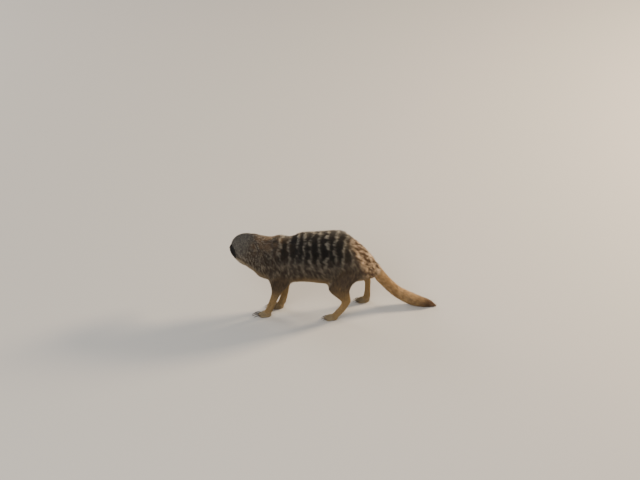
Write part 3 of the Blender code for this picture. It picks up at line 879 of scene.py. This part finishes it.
leg_share, leg_run = paws, 0
for left, right in (LEGS[:2], LEGS[2:]):
    pair = share[left] + share[right]
    leg_share = leg_share + pair
    leg_run = leg_run + pair * np.maximum(reach[left] * share[left], reach[right] * share[right])
past_eye = f - 25
patch_edge = eye_gap + 0.10 * np.maximum(0, -past_eye) - 0.05 * np.maximum(0, past_eye)
patch_of_eye = smoothstep(10.2, 7.6, patch_edge)
ear_edge = ear_gap + 0.12 * np.clip(f - EAR_AT[0], -12, 12)
ear_tone = np.maximum(kind == 2, smoothstep(12, 7.5, ear_edge))
below = smoothstep(0.0, -0.85, normals[:, 2])
throat = np.clip((share["head"] + share["neck"]) * smoothstep(-0.15, -0.75, normals[:, 2]), 0, 1)
muzzle = smoothstep(33, 45, f) * on_head
attach(skin_mesh, "root", places / MM)
attach(skin_mesh, "lie", lie)
attach(skin_mesh, "hair", np.column_stack([length * MM, width * MM, np.radians(lift)]))
attach(skin_mesh, "density", dense / MM ** 2)
for zone, masks, rounds in (
        ("body_zone", (share["neck"], share["tail"], reach["tail"]), 3),
        ("leg_zone", (leg_share, np.clip(leg_run + paws, 0, 1), paws), 3),
        ("head_zone", (share["head"], smoothstep(4, 24, f) * share["head"], ear_tone), 2),
        ("face_zone", (patch_of_eye, muzzle, throat), 2),
        ("belly_zone", (belly, below, bare), 2)):
    attach(skin_mesh, zone, averaged(np.column_stack(masks), edges, rounds))
first_corner = [polygon.vertices[0] for polygon in skin_mesh.polygons]
attach(skin_mesh, "piece", owner[first_corner], "FACE")
print("written on the skin:", [layer.name for layer in skin_mesh.attributes if layer.name[0] != "."])

# %% [markdown]
# ## The skin's unwrap
# A flat map of the skin gives each hair a small patch of its own for the finish. Smart Project cuts the
# map where the surface turns sharply, which needs no seams drawn by hand.

# %% Unwrap the skin
skin_thing = object_of("skin", skin_mesh)
skin_mesh.uv_layers.new(name="OFBake")
bpy.context.view_layer.objects.active = skin_thing
skin_thing.select_set(True)
bpy.ops.object.mode_set(mode="EDIT")
bpy.ops.mesh.select_all(action="SELECT")
bpy.ops.uv.smart_project(angle_limit=math.radians(66), island_margin=0.002)
bpy.ops.object.mode_set(mode="OBJECT")
skin_mesh.shade_smooth()
print("map made:", [layer.name for layer in skin_mesh.uv_layers])

# %% [markdown]
# ## Shader maths in words
# A material's numbers are sums of noise and masks. Written as Python expressions they are as easy to
# read as the sums themselves. One class stands for a socket: adding or multiplying it puts the Math node
# in for us. Everything else comes from one function that takes a node's type, its settings and what goes
# into it.


# %% Nodes from expressions
def feed(node, inputs):
    """Puts wires or plain values into a node's sockets."""
    for key, value in inputs.items():
        if isinstance(value, Wire):
            value.tree.links.new(value.socket, node.inputs[key])
        else:
            node.inputs[key].default_value = value
    return node


def add_node(tree, kind, settings=None, inputs=None):
    node = tree.nodes.new(kind)
    for name, value in (settings or {}).items():
        setattr(node, name, value)
    return feed(node, inputs or {})


def wire(tree, kind, settings=None, inputs=None, output=0):
    """One output of a new node, ready for sums."""
    return Wire(add_node(tree, kind, settings, inputs).outputs[output])


class Wire:
    """A socket that takes part in sums."""

    def __init__(self, socket):
        self.socket, self.tree = socket, socket.id_data

    def maths(self, operation, *others, clamp=False):
        settings = {"operation": operation, "use_clamp": clamp}
        return wire(self.tree, "ShaderNodeMath", settings, dict(enumerate((self, *others))))

    def __add__(self, other):
        return self.maths("ADD", other)

    def __mul__(self, other):
        return self.maths("MULTIPLY", other)

    def __sub__(self, other):
        return self.maths("SUBTRACT", other)

    def __truediv__(self, other):
        return self.maths("DIVIDE", other)

    def __rsub__(self, other):
        return self.maths("MULTIPLY", -1.0) + other

    def __rtruediv__(self, other):
        return self.maths("POWER", -1.0) * other

    __radd__, __rmul__ = __add__, __mul__

    def step(self, low, high):
        """0 below low, 1 above high, smooth between."""
        return wire(self.tree, "ShaderNodeMapRange", {"interpolation_type": "SMOOTHSTEP"},
                    {"Value": self, "From Min": low, "From Max": high})

    def vector(self, operation, *others):
        output = 1 if operation == "DOT_PRODUCT" else 0
        settings = {"operation": operation}
        return wire(self.tree, "ShaderNodeVectorMath", settings, dict(enumerate((self, *others))), output)

    def scaled(self, by):
        return wire(self.tree, "ShaderNodeVectorMath", {"operation": "SCALE"}, {0: self, "Scale": by})

    def parts(self):
        made = add_node(self.tree, "ShaderNodeSeparateXYZ", None, {0: self})
        return [Wire(made.outputs[k]) for k in range(3)]


print("a wire knows", [name for name in vars(Wire) if name[0] != "_"])


# %% Colours, clouds and attributes
def linear(*rgb):
    """A colour given (0 to 255) as the light that a shader counts with."""
    return tuple(c / 255 / 12.92 if c <= 10 else ((c / 255 + 0.055) / 1.055) ** 2.4 for c in rgb) + (1.0,)


def attribute(tree, name, vector=True):
    return wire(tree, "ShaderNodeAttribute", {"attribute_name": name}, output="Vector" if vector else "Fac")


def noise(tree, where, lump, detail=2.0, rough=0.5):
    """Clouds whose lumps are about `lump` across in the units of `where`; at scale 1 they would be 0.6."""
    return wire(tree, "ShaderNodeTexNoise", None,
                {"Vector": where, "Scale": 0.6 / lump, "Detail": detail, "Roughness": rough})


def tinted(under, over, amount):
    """`under` painted with `over` where amount is 1."""
    return wire(amount.tree, "ShaderNodeMix", {"data_type": "RGBA"}, {0: amount, 6: under, 7: over}, 2)


print("middle grey as light:", round(linear(128)[0], 3))

# %% [markdown]
# ## The markings
# A meerkat's back carries about ten dark bars with thin pale lines between them, which break up over the
# rump and fade into grizzled flanks. The belly and legs are ochre, the tail is yellow with a dark tip,
# the head is grey with black eye patches and ears. All of it is worked out from where a hair is rooted,
# so one recipe serves both hair and skin.

# %% Tones
BAR_RUN = 12.8                     # mm from one bar to the next
TONES = {
    "bar": (42, 37, 32), "line": (176, 166, 147), "grizzle": (174, 161, 141), "grizzle_dark": (72, 62, 52),
    # the pale rump tone is partly the fur's own tan and partly a painted highlight; the dark tone after it is
    # painted shade between hair clumps
    "flank": (122, 104, 82), "belly": (164, 138, 100), "rump": (238, 210, 172), "net": (84, 62, 46),
    "leg": (178, 148, 102), "thigh": (118, 100, 80), "paw": (166, 145, 110),
    "tail": (206, 172, 124), "tail_dark": (150, 116, 78), "tip": (106, 80, 56),
    # the nape tone is partly the fur's own warm brown and partly painted warm light on the top of the neck
    "crown": (140, 131, 117), "crown_dark": (94, 87, 77), "nape": (146, 112, 76), "face": (172, 160, 142),
    "muzzle": (128, 107, 86), "patch": (30, 25, 21), "ear": (36, 31, 28), "throat": (186, 172, 148)}
TONES = {name: linear(*rgb) for name, rgb in TONES.items()}
print("tones:", len(TONES))


# %% The recipe of the markings
def markings(tree, tip):
    """The colour of a place. Pale flecks sit near a hair's tip: `tip` says how far out we are."""
    root = attribute(tree, "root")
    x, y, z = root.parts()
    neck, tail, tail_run = attribute(tree, "body_zone").parts()
    leg, leg_run, paw = attribute(tree, "leg_zone").parts()
    head, face, ear = attribute(tree, "head_zone").parts()
    patch, muzzle, throat = attribute(tree, "face_zone").parts()
    belly, below, bare = attribute(tree, "belly_zone").parts()
    broad, middling, fine = noise(tree, root, 16), noise(tree, root, 4.5), noise(tree, root, 1.5, 3.0)

    def paint(under, tone, amount):
        return tinted(TONES.get(under, under), TONES[tone], amount)

    # clouds about nought, which shift an edge one way and the other
    broadly, roughly, finely = broad - 0.5, middling - 0.5, fine - 0.5
    streak = noise(tree, root.vector("ADD", broadly * 8).vector("MULTIPLY", (1.9, 2.3, 0.52)), 2.0, 1.0)
    # grizzled ground of the body, in short upright streaks
    flecks = (streak * 0.85 + fine * 0.30).step(0.57, 0.68) * tip
    ground = paint("grizzle_dark", "grizzle", flecks)
    ground = paint(ground, "flank", (1 - (z + roughly * 10).step(62, 92)) * 0.7)
    # bars across the back
    run = (y + broadly * 24 + roughly * 11.0 + (x - MID_X).maths("ABSOLUTE") * 0.10) / BAR_RUN
    swing = (run.maths("FRACT") - 0.5).maths("ABSOLUTE") * 2.0
    high = (z + broadly * 14 + roughly * 14).step(100, 124)
    barred = high * (y + broadly * 14).step(-120, -84)
    pale = (swing + finely * 0.35 + roughly * 0.6 + (1 - z.step(94, 122)) * 0.16).step(0.74, 0.92)
    pale = pale * (fine * 0.7 + middling * 0.5).step(0.41, 0.64) * tip
    broken = (broad * 0.6 + middling * 0.9 + (1 - z.step(98, 126)) * 0.30).step(0.88, 1.04)
    banded = paint(tinted(TONES["bar"], ground, broken), "line", pale)
    colour = tinted(ground, banded, barred)
    # the rump is partly the fur's own tan and partly a painted highlight on the top of each hair clump; the
    # dark net between the clumps is painted shade
    bent = root.vector("ADD", broadly * 9).vector("MULTIPLY", (0.9, 1.0, 0.72))
    cells = wire(tree, "ShaderNodeTexVoronoi", {"feature": "F1"}, {"Vector": bent, "Scale": 0.20}, "Distance")
    knots = 1 - (cells + finely * 0.5).step(0.30, 0.58)
    net = knots.maths("MINIMUM", (swing * 0.6 + middling * 0.9).step(0.42, 0.62))
    rump_line = y - (148 - z) * 0.49 - 16 + broadly * 14 + roughly * 10
    colour = tinted(colour, paint("net", "rump", net), rump_line.step(-6, 8))
    # belly and chest
    colour = paint(colour, "belly", neck * 0.8 * (below + roughly * 0.5).step(0.05, 0.6))
    low = 1 - (z + roughly * 12).step(54, 70)
    colour = paint(colour, "belly", (belly * 1.2 + low * 0.9).maths("MINIMUM", 1.0))
    # legs
    limb = paint("thigh", "leg", (leg_run + roughly * 0.35).step(0.10, 0.66))
    dark = 1 - (streak + finely * 0.6).step(0.42, 0.60)
    limb = paint(limb, "grizzle_dark", (1 - leg_run.step(0.05, 0.6)) * dark * 0.8)
    limb = paint(limb, "paw", paw)
    colour = tinted(colour, limb, leg.step(0.25, 0.75))
    # tail
    brush = paint("tail_dark", "tail", (fine * 0.7 + middling * 0.4).step(0.36, 0.66))
    brush = paint(brush, "tip", (tail_run + finely * 0.10).step(0.74, 0.92))
    colour = tinted(colour, brush, tail.step(0.10, 0.5))
    # neck and head
    # a warm tint on the neck, strongest on its top: partly the fur's own brown, partly painted warm light
    nape_tint_and_painted_light = neck * (1 - below) * middling.step(0.35, 0.65) * (0.06 + z.step(116, 134) * 0.4)
    colour = paint(colour, "nape", nape_tint_and_painted_light)
    top = paint("crown_dark", "crown", (fine * 0.6 + streak * 0.5).step(0.42, 0.72))
    top = paint(top, "face", face)
    top = paint(top, "muzzle", muzzle)
    colour = tinted(colour, top, (head + (streak - 0.5) * 0.5).step(0.15, 0.95))
    colour = paint(colour, "throat", throat)
    colour = paint(colour, "patch", (patch + finely * 0.7).step(0.32, 0.66))
    colour = paint(colour, "ear", (ear + finely * 0.5).step(0.35, 0.75))
    return colour, root, fine, bare


trial = bpy.data.node_groups.new("trial", "ShaderNodeTree")
markings(trial, 1.0)
print("nodes in the markings:", len(trial.nodes))
bpy.data.node_groups.remove(trial)


# %% Skin and hair finishes
def new_finish(name):
    """A material, its tree and its shader."""
    made = bpy.data.materials.new(name)
    made.use_nodes = True
    return made, made.node_tree, made.node_tree.nodes["Principled BSDF"]


def relief(tree, height, strength, deep, settings=None):
    """A bump of `deep` metres."""
    return wire(tree, "ShaderNodeBump", settings, {"Height": height, "Strength": strength, "Distance": deep})


skin_finish, tree, shader = new_finish("hide")
colour, root, fine, bare = markings(tree, 0.6)
shaded = wire(tree, "ShaderNodeMix", {"data_type": "RGBA", "blend_type": "MULTIPLY"},
              {0: 1.0, 6: colour, 7: (0.42, 0.38, 0.35, 1)}, 2)
pores = noise(tree, root, 0.35, 3.0)
feed(shader, {"Base Color": tinted(shaded, linear(22, 18, 16), bare.step(0.5, 0.9)),
              "Roughness": (1 - bare) * 0.25 + 0.55 + (pores - 0.5) * 0.2,
              "Normal": relief(tree, pores + fine * 0.6, 0.5, 0.0003), "Specular IOR Level": 0.35})

hair_finish, tree, shader = new_finish("coat")
along, chance = attribute(tree, "along", False), attribute(tree, "chance", False)
colour, root, fine, bare = markings(tree, along.step(0.35, 0.68))
strength = (0.60 + along.step(0.0, 0.45) * 0.42 - along.step(0.62, 1.0) * 0.22) * (0.70 + chance * 0.62)
feed(shader, {"Base Color": colour.scaled(strength), "Roughness": 0.62 - along * 0.14 + (chance - 0.5) * 0.1,
              "Specular IOR Level": 0.3})
skin_mesh.materials.append(skin_finish)
print("nodes in the finishes:", [(m.name, len(m.node_tree.nodes)) for m in (skin_finish, hair_finish)])

# %% [markdown]
# ## The coat
# A quarter of a million hairs can't be placed by hand or by a Python loop. Geometry Nodes scatter roots
# over the skin as the plan's density says, turn a small tuft to each root's lie, size it, and write down
# what the finish needs. One tuft is a three-sided spindle with a slight bow, which takes six triangles.
# The bow is what lays its tip along the body.


# %% One tuft
PATCH = 0.0015                     # half size of a hair's patch on the skin's flat map


def tuft_mesh():
    rows = np.array([(0, -0.35, -0.02), (-0.5, 1.0, 0.42), (0.5, 1.0, 0.42), (0, 1.75, 0.42), (0, 0.35, 1.0)])
    mesh = bpy.data.meshes.new("tuft")
    mesh.from_pydata(rows.tolist(), [], [(0, 2, 1), (0, 3, 2), (0, 1, 3), (4, 1, 2), (4, 2, 3), (4, 3, 1)])
    attach(mesh, "along", rows[:, 2].clip(0, 1))
    attach(mesh, "patch", np.array([(0, -1, 0), (-1, 0, 0), (1, 0, 0), (0, 0, 0), (0, 1, 0)]) * PATCH)
    mesh.shade_smooth()
    return mesh


tuft = object_of("tuft", tuft_mesh())
print("one tuft:", len(tuft.data.polygons), "triangles")


# %% The tree that grows them
STRAY = 0.16                        # how far a hair strays from the lie
ABOVE_FLOOR = 0.0002                # metres, the lowest that a hair may reach


def coat_tree():
    tree = bpy.data.node_groups.new("Grow coat", "GeometryNodeTree")
    for name, sort in (("Skin", "Geometry"), ("Tuft", "Object"), ("Part", "Int"), ("Seed", "Int"),
                       ("Clump size", "Float"), ("Clump pull", "Float"), ("Finish", "Material")):
        tree.interface.new_socket(name, in_out="INPUT", socket_type="NodeSocket" + sort)
    tree.interface.new_socket("Coat", in_out="OUTPUT", socket_type="NodeSocketGeometry")
    start, end = tree.nodes.new("NodeGroupInput"), tree.nodes.new("NodeGroupOutput")
    given = {socket.name: Wire(socket) for socket in start.outputs if socket.name}

    make = partial(wire, tree)

    def named(name, kind="FLOAT"):
        return make("GeometryNodeInputNamedAttribute", {"data_type": kind}, {"Name": name})

    def dice(low, high, number):
        return make("FunctionNodeRandomValue", {"data_type": "FLOAT"}, {2: low, 3: high, "Seed": number}, 1)

    def store(geometry, name, value, kind="FLOAT", domain="POINT"):
        return make("GeometryNodeStoreNamedAttribute", {"data_type": kind, "domain": domain},
                    {"Geometry": geometry, "Name": name, "Value": value})

    mine = make("FunctionNodeCompare", {"data_type": "INT", "operation": "EQUAL"},
                {2: named("piece", "INT"), 3: given["Part"]})
    scatter = add_node(tree, "GeometryNodeDistributePointsOnFaces", {"distribute_method": "RANDOM"}, {
        "Mesh": given["Skin"], "Selection": mine, "Density": named("density"), "Seed": given["Seed"]})
    roots, normal = Wire(scatter.outputs["Points"]), Wire(scatter.outputs["Normal"])
    roots = store(roots, "flat", named("OFBake", "FLOAT_VECTOR"), "FLOAT_VECTOR")
    roots = store(roots, "chance", dice(0, 1, 3))
    length, width, lift = named("hair", "FLOAT_VECTOR").parts()
    place = make("GeometryNodeInputPosition")
    cloud = make("ShaderNodeTexNoise", {"noise_dimensions": "3D"},
                 {"Vector": place, "Scale": 1.0 / given["Clump size"], "Detail": 1.0}, output="Color")
    pull = cloud.vector("SUBTRACT", (0.5, 0.5, 0.5)).scaled(given["Clump pull"])
    stray = make("FunctionNodeRandomValue", {"data_type": "FLOAT_VECTOR"},
                 {0: (-STRAY,) * 3, 1: (STRAY,) * 3, "Seed": 5})
    angle = lift * (0.55 + dice(0, 0.9, 7))
    up = normal.scaled(angle.maths("TANGENT"))
    way = named("lie", "FLOAT_VECTOR").vector("ADD", pull).vector("ADD", stray)
    away = normal.scaled(way.vector("DOT_PRODUCT", normal))
    way = way.vector("SUBTRACT", away).vector("NORMALIZE").vector("ADD", up)
    axes = {"primary_axis": "Z", "secondary_axis": "Y"}
    turn = make("FunctionNodeAxesToRotation", axes, {0: way, 1: normal})
    wide, long = width * (0.7 + dice(0, 0.6, 11)), length * (0.78 + dice(0, 0.34, 13))
    scale = make("ShaderNodeCombineXYZ", None, {0: wide, 1: wide * 0.8, 2: long})
    hair = make("GeometryNodeObjectInfo", None, {"Object": given["Tuft"]}, output="Geometry")
    grown = make("GeometryNodeInstanceOnPoints", None,
                 {"Points": roots, "Instance": hair, "Rotation": turn, "Scale": scale})
    grown = make("GeometryNodeRealizeInstances", None, {"Geometry": grown})
    px, py, pz = make("GeometryNodeInputPosition").parts()
    above = make("ShaderNodeCombineXYZ", None, {0: px, 1: py, 2: pz.maths("MAXIMUM", ABOVE_FLOOR)})
    grown = make("GeometryNodeSetPosition", None, {"Geometry": grown, "Position": above})
    spot = named("flat", "FLOAT_VECTOR").vector("ADD", named("patch", "FLOAT_VECTOR"))
    grown = store(grown, "OFBake", spot, "FLOAT2", "CORNER")
    for spare in ("lie", "hair", "density", "piece", "flat", "patch", "kind"):
        grown = make("GeometryNodeRemoveAttribute", None, {"Geometry": grown, "Name": spare})
    grown = make("GeometryNodeSetMaterial", None, {"Geometry": grown, "Material": given["Finish"]})
    tree.links.new(grown.socket, end.inputs[0])
    return tree


grow = coat_tree()
ids = {item.name: item.identifier for item in grow.interface.items_tree if item.in_out == "INPUT"}
print("coat tree:", len(grow.nodes), "nodes, inputs", list(ids)[1:])


# %% Grow each part of the coat
FIRST_SEED = 20


def grow_part(number, name, clump, pull):
    soil = object_of("coat_" + name, skin_mesh)
    growth = soil.modifiers.new("growth", "NODES")
    growth.node_group = grow
    settings = {"Tuft": tuft, "Part": number, "Seed": FIRST_SEED + number, "Clump size": clump,
                "Clump pull": pull, "Finish": hair_finish}
    for key, value in settings.items():
        growth[ids[key]] = value
    mesh = settled(soil)
    bpy.data.objects.remove(soil)
    mesh.name = "coat_" + name
    part = object_of("coat_" + name, mesh)
    print(part.name, len(mesh.polygons), "triangles, map", [layer.name for layer in mesh.uv_layers])
    return part


# how big the clumps are, in metres, and how strongly they pull hairs aside
CLUMPS = {"face": (0.0022, 0.25), "crown": (0.004, 0.4), "neck": (0.006, 0.6), "legs": (0.004, 0.4),
          "feet": (0.002, 0.25), "tail": (0.006, 0.55), "body": (0.007, 0.7)}
coats = {}
for number, name in enumerate(PIECES):
    sort = name if name in CLUMPS else "legs" if "leg" in name else "body"
    coats[name] = grow_part(number, name, *CLUMPS[sort])
discard(tuft)
bpy.data.node_groups.remove(grow)

# %% [markdown]
# ## Eyes
# A meerkat's eye is a wet dark-brown ball with a wide flat pupil. The ball is a dense grid so that its
# gleam is clean, slightly fuller at the cornea. Each corner keeps its place in the eye's own terms, from
# which the finish draws the iris.


# %% Eye balls
CORNEA, CORNEA_WIDTH = 0.035, 34    # how much fuller the ball is in front, over how many degrees


def ring_of_ball(angle, count):
    """A ring of a ball of size 1, `angle` degrees away from the first axis."""
    polar, turns = math.radians(angle), circle(count)
    wide = math.sin(polar)
    return np.column_stack([np.full(count, math.cos(polar)), wide * np.cos(turns), wide * np.sin(turns)])


def rounded(title, rows):
    """A smooth closed object of rings."""
    bm = bmesh.new()
    capped_tube(bm, rows)
    bmesh.ops.recalc_face_normals(bm, faces=bm.faces)
    thing = object_of(title, mesh_of(bm, title))
    thing.data.shade_smooth()
    return thing


def eye_ball(side):
    middle, *axes = eye_axes(side)
    rows, local = [], []
    for angle in np.linspace(0.5, 179.5, 48):
        radius = EYE_BALL * (1 + CORNEA * hill(angle, 0, CORNEA_WIDTH))
        own = ring_of_ball(angle, 64)
        local.append(own)
        rows.append(from_head(middle + radius * (own @ np.array(axes))))
    thing = rounded("eyeball_" + side, rows)
    attach(thing.data, "own", np.vstack(local))
    return thing


eyes = {side: eye_ball(side) for side in eye_at}
print("eyes:", [len(thing.data.polygons) for thing in eyes.values()])

# %% The finish of an eye
wet, tree, shader = new_finish("wet_eye")
own = attribute(tree, "own")
ahead, wide, tall = own.parts()
ring = (wide * wide + tall * tall).maths("SQRT")
pupil = ((wide / 1.5).maths("POWER", 2.0) + tall * tall).maths("SQRT")
streaks = noise(tree, own, 0.09, 3.0)
iris = tinted(linear(44, 24, 12), linear(80, 47, 22), streaks.step(0.35, 0.7))
iris = tinted(iris, linear(14, 9, 7), ring.step(0.60, 0.76))
iris = tinted(linear(4, 3, 3), iris, pupil.step(0.32, 0.37))
feed(shader, {"Base Color": iris, "Roughness": 0.06, "Coat Weight": 1.0, "Coat Roughness": 0.02})
for thing in eyes.values():
    thing.data.materials.append(wet)
print("nodes in the eye's finish:", len(tree.nodes))

# %% [markdown]
# ## Nose
# The nose pad is bare, dark, moist and finely pebbled, with two comma-shaped nostrils that open to the
# sides. It is a rounded form whose surface is pushed in where the nostrils are.


# %% Nose pad
# in mm from the pad's middle: out to the side, up, then half width and half height
NOSTRIL = (2.1, -0.1, 0.95, 0.85)
COMMA = (3.3, -0.55, 1.3, 0.42)
NOSE_SQUARE = 0.82                  # below 1 the pad is squarer than a ball


def nose_pad():
    rows = []
    for angle in np.linspace(0.6, 150, 60):
        way = ring_of_ball(angle, 96)
        place = np.sign(way) * np.abs(way) ** NOSE_SQUARE * NOSE_SIZE
        place[:, 1] *= 1 + 0.10 * way[:, 2] - 0.12 * (way[:, 2] < 0) * way[:, 2] ** 2
        side, up = np.abs(place[:, 1]), place[:, 2]
        hole = np.hypot((side - NOSTRIL[0]) / NOSTRIL[2], (up - NOSTRIL[1]) / NOSTRIL[3])
        slope = 0.25 * (side - COMMA[0])
        comma = np.hypot((side - COMMA[0]) / COMMA[2], (up - COMMA[1] + slope) / COMMA[3])
        sink = 1.9 * np.exp(-hole ** 2.4) + hill(comma, 0, 1)
        sink += 0.45 * hill(side, 0, 0.38) * (0.35 + 0.65 * (up < 0.8))     # groove down the middle
        sink -= 0.30 * hill(hole, 1.7, 0.5)                                 # raised rim of the nostril
        place -= way * (sink * np.clip(way[:, 0] + 0.25, 0, 1))[:, None]
        rows.append(from_head(place + np.array(NOSE_AT)))
    return rounded("nose_pad", rows)


nose = nose_pad()
moist, tree, shader = new_finish("moist_skin")
where = wire(tree, "ShaderNodeTexCoord", output="Object")
pebble = wire(tree, "ShaderNodeTexVoronoi", {"feature": "F1"}, {"Vector": where, "Scale": 2600.0}, "Distance")
mottle = noise(tree, where, 0.001).step(0.35, 0.7)
feed(shader, {"Base Color": tinted(linear(30, 23, 20), linear(58, 44, 37), mottle),
              "Roughness": 0.36 + pebble * 0.25,
              "Normal": relief(tree, pebble, 0.55, 0.00012, {"invert": True})})
nose.data.materials.append(moist)
print("nose:", len(nose.data.polygons), "faces")

# %% [markdown]
# ## Claws
# Sixteen claws of dark horn. The solids have the right curve and place but few sides, so each is copied,
# its doubles are merged, and a subdivision surface rounds it. One object for each foot keeps the list of
# pieces short.


# %% Round the claws
def rounded_claws(names, title):
    bm = bmesh.new()
    for name in names:
        pour(copied(name), bm)
    rough = object_of(title + "_rough", mesh_of(bm, title))
    rounder = rough.modifiers.new("round", "SUBSURF")
    rounder.levels = rounder.render_levels = 1
    smooth = settled(rough)
    smooth.shade_smooth()
    discard(rough)
    return object_of(title, smooth)


horn, tree, shader = new_finish("horn")
where = wire(tree, "ShaderNodeTexCoord", output="Object")
stretched = wire(tree, "ShaderNodeMapping", None, {"Vector": where, "Scale": (1.0, 0.12, 1.0)})
grainy = noise(tree, stretched, 0.00035, 3.0)
feed(shader, {"Base Color": tinted(linear(40, 31, 25), linear(96, 80, 62), grainy.step(0.3, 0.75)),
              "Roughness": 0.34 + grainy * 0.2, "Normal": relief(tree, grainy, 0.3, 0.0001)})
claws = {}
for foot in FEET:
    claws[foot] = rounded_claws(claws_of(foot), "claws_" + foot)
    claws[foot].data.materials.append(horn)
print("claws:", [len(c.data.polygons) for c in claws.values()])

# %% [markdown]
# ## Whiskers
# Stiff dark bristles grow in rows from the pads beside the nose, a few over each eye and on the cheek.
# Each is a tapered tube along a curve that sweeps back. There are few enough of them to make one by one.

# %% Whiskers
# forward, left and up of each root, then length in mm and how much the bristle droops
WHISKER_ROOTS = [(44.5 - 2.2 * column, 5.4 + 0.75 * column, -3.2 - 1.35 * row, 13 + 4.0 * column, row)
                 for row in range(3) for column in range(4)]
BROW_ROOTS = [(30.5, 9.0, 9.3, 10, -1.6), (28.5, 10.0, 10.6, 13, -1.8), (17.0, 18.5, -6.5, 11, 1.0)]
WHISKER_STEPS, WHISKER_SIDES = 8, 4
WHISKER_RADIUS = 0.10


def whisker(bm, start, length, drop, sign):
    t = np.linspace(0, 1, WHISKER_STEPS + 1)
    back, out = -0.20 * t - 0.34 * t * t, sign * (0.92 * t - 0.16 * t * t)
    centres = np.array(start) + length * np.column_stack([back, out, -0.12 * drop * t - 0.10 * t * t])
    rows = []
    for k, centre in enumerate(centres):
        ahead = unit(centres[min(k + 1, WHISKER_STEPS)] - centres[max(k - 1, 0)])
        one = unit(np.cross(ahead, (0, 0, 1.0)))
        radius = WHISKER_RADIUS * (1 - 0.86 * t[k])
        rows.append(from_head(centre + radius * spokes_of(circle(WHISKER_SIDES), one, np.cross(ahead, one))))
    capped_tube(bm, rows)


bm = bmesh.new()
for sign in SIDES.values():
    for ahead, out, high, length, drop in WHISKER_ROOTS + BROW_ROOTS:
        whisker(bm, (ahead, sign * (out - 0.8), high), length, drop, sign)
bmesh.ops.recalc_face_normals(bm, faces=bm.faces)
whiskers = object_of("whiskers", mesh_of(bm, "whiskers"))
bristle, tree, shader = new_finish("bristle")
faded = noise(tree, wire(tree, "ShaderNodeTexCoord", output="Object"), 0.006).step(0.4, 0.7)
feed(shader, {"Base Color": tinted(linear(24, 20, 17), linear(70, 60, 50), faded), "Roughness": 0.4})
whiskers.data.materials.append(bristle)
print("whiskers:", len(whiskers.data.polygons), "faces")

# %% [markdown]
# ## What rides on what, and what stands for what
# The animal is one body. The skin stands for every solid of flesh, the coat grows on it, and eyes, nose
# and claws stand for their own solids.

# %% Ride and replace; the slot names in the rows are not used
sandy = ("rump", *LEGS, "feet", "tail")
rows = [(thing, "coat_sand" if name in sandy else "coat_grey", []) for name, thing in coats.items()]
rows += [(thing, "eye", ["eye_" + side]) for side, thing in eyes.items()]
rows += [(thing, "claw", claws_of(foot)) for foot, thing in claws.items()]
rows += [(nose, "nose_skin", ["nose"]), (whiskers, "coat_dark", []),
         (skin_thing, "coat_grey", [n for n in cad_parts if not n.startswith(("claw", "eye", "nose"))])]
for thing, slot, solids in rows:
    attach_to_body(thing, "root")
    if solids:
        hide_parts(*solids)
triangles = sum(len(thing.data.loops) - 2 * len(thing.data.polygons) for thing, *_ in rows)
print("pieces:", len(rows), "triangles:", triangles)

# %% [markdown]
# ## Floor, light and camera
# A pale floor and soft lights show the coat without hiding its colours. The key is low and warm and
# comes from behind on the animal's right, which draws a bright line along its back and tail. A broad
# cool light fills from the viewer's side.

# %% Stage
floor_mesh = bpy.data.meshes.new("floor")
floor_mesh.from_pydata([(-6, -6, 0), (6, -6, 0), (6, 6, 0), (-6, 6, 0)], [], [(0, 1, 2, 3)])
floor = object_of("floor", floor_mesh)
pale, tree, shader = new_finish("pale_floor")
feed(shader, {"Base Color": linear(208, 200, 187), "Roughness": 0.9})
floor_mesh.materials.append(pale)
floor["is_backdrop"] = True


def aim(thing, where, target):
    """Sets a lamp or the camera at a place and turns it to a target."""
    thing.location = where
    thing.rotation_mode = "QUATERNION"
    thing.rotation_quaternion = (Vector(target) - Vector(where)).to_track_quat("-Z", "Y")


def lamp(name, where, power, width, colour):
    """A square lamp of so many watts and metres across, which looks at the animal."""
    data = bpy.data.lights.new(name, "AREA")
    data.energy, data.size, data.color = power, width, colour
    aim(object_of(name, data), where, (0, 0, 0.08))


lamp("key", (-0.80, 1.85, 0.90), 84, 0.45, (1.0, 0.82, 0.60))
lamp("fill", (1.9, -0.7, 1.5), 42, 1.6, (0.93, 0.95, 1.0))
lamp("front", (-1.4, -1.7, 1.1), 20, 1.2, (0.97, 0.97, 1.0))
world = bpy.data.worlds.new("studio")
bpy.context.scene.world = world
world.use_nodes = True
feed(world.node_tree.nodes["Background"], {"Color": (0.80, 0.86, 0.95, 1), "Strength": 0.42})

# %% Camera
TARGET = Vector((0.0126, -0.0212, 0.136))
CAMERA_AWAY, CAMERA_RISE = 2.9, math.radians(30)
camera_data = bpy.data.cameras.new("camera")
camera_data.lens, camera_data.sensor_width = 99.5, 36.0
camera = object_of("camera", camera_data)
aim(camera, TARGET + CAMERA_AWAY * Vector((math.cos(CAMERA_RISE), 0, math.sin(CAMERA_RISE))), TARGET)
camera_data.clip_start, camera_data.clip_end = 0.01, 100
bpy.context.scene.camera = camera
print("camera", CAMERA_AWAY, "m from the animal, lens", camera_data.lens, "mm")

# %% Measure and finish
low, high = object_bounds()
past = [round(gap / MM, 1) for gap in (*(cad_low - low), *(high - cad_high))]
print("outside the solids' box, in mm:", past)
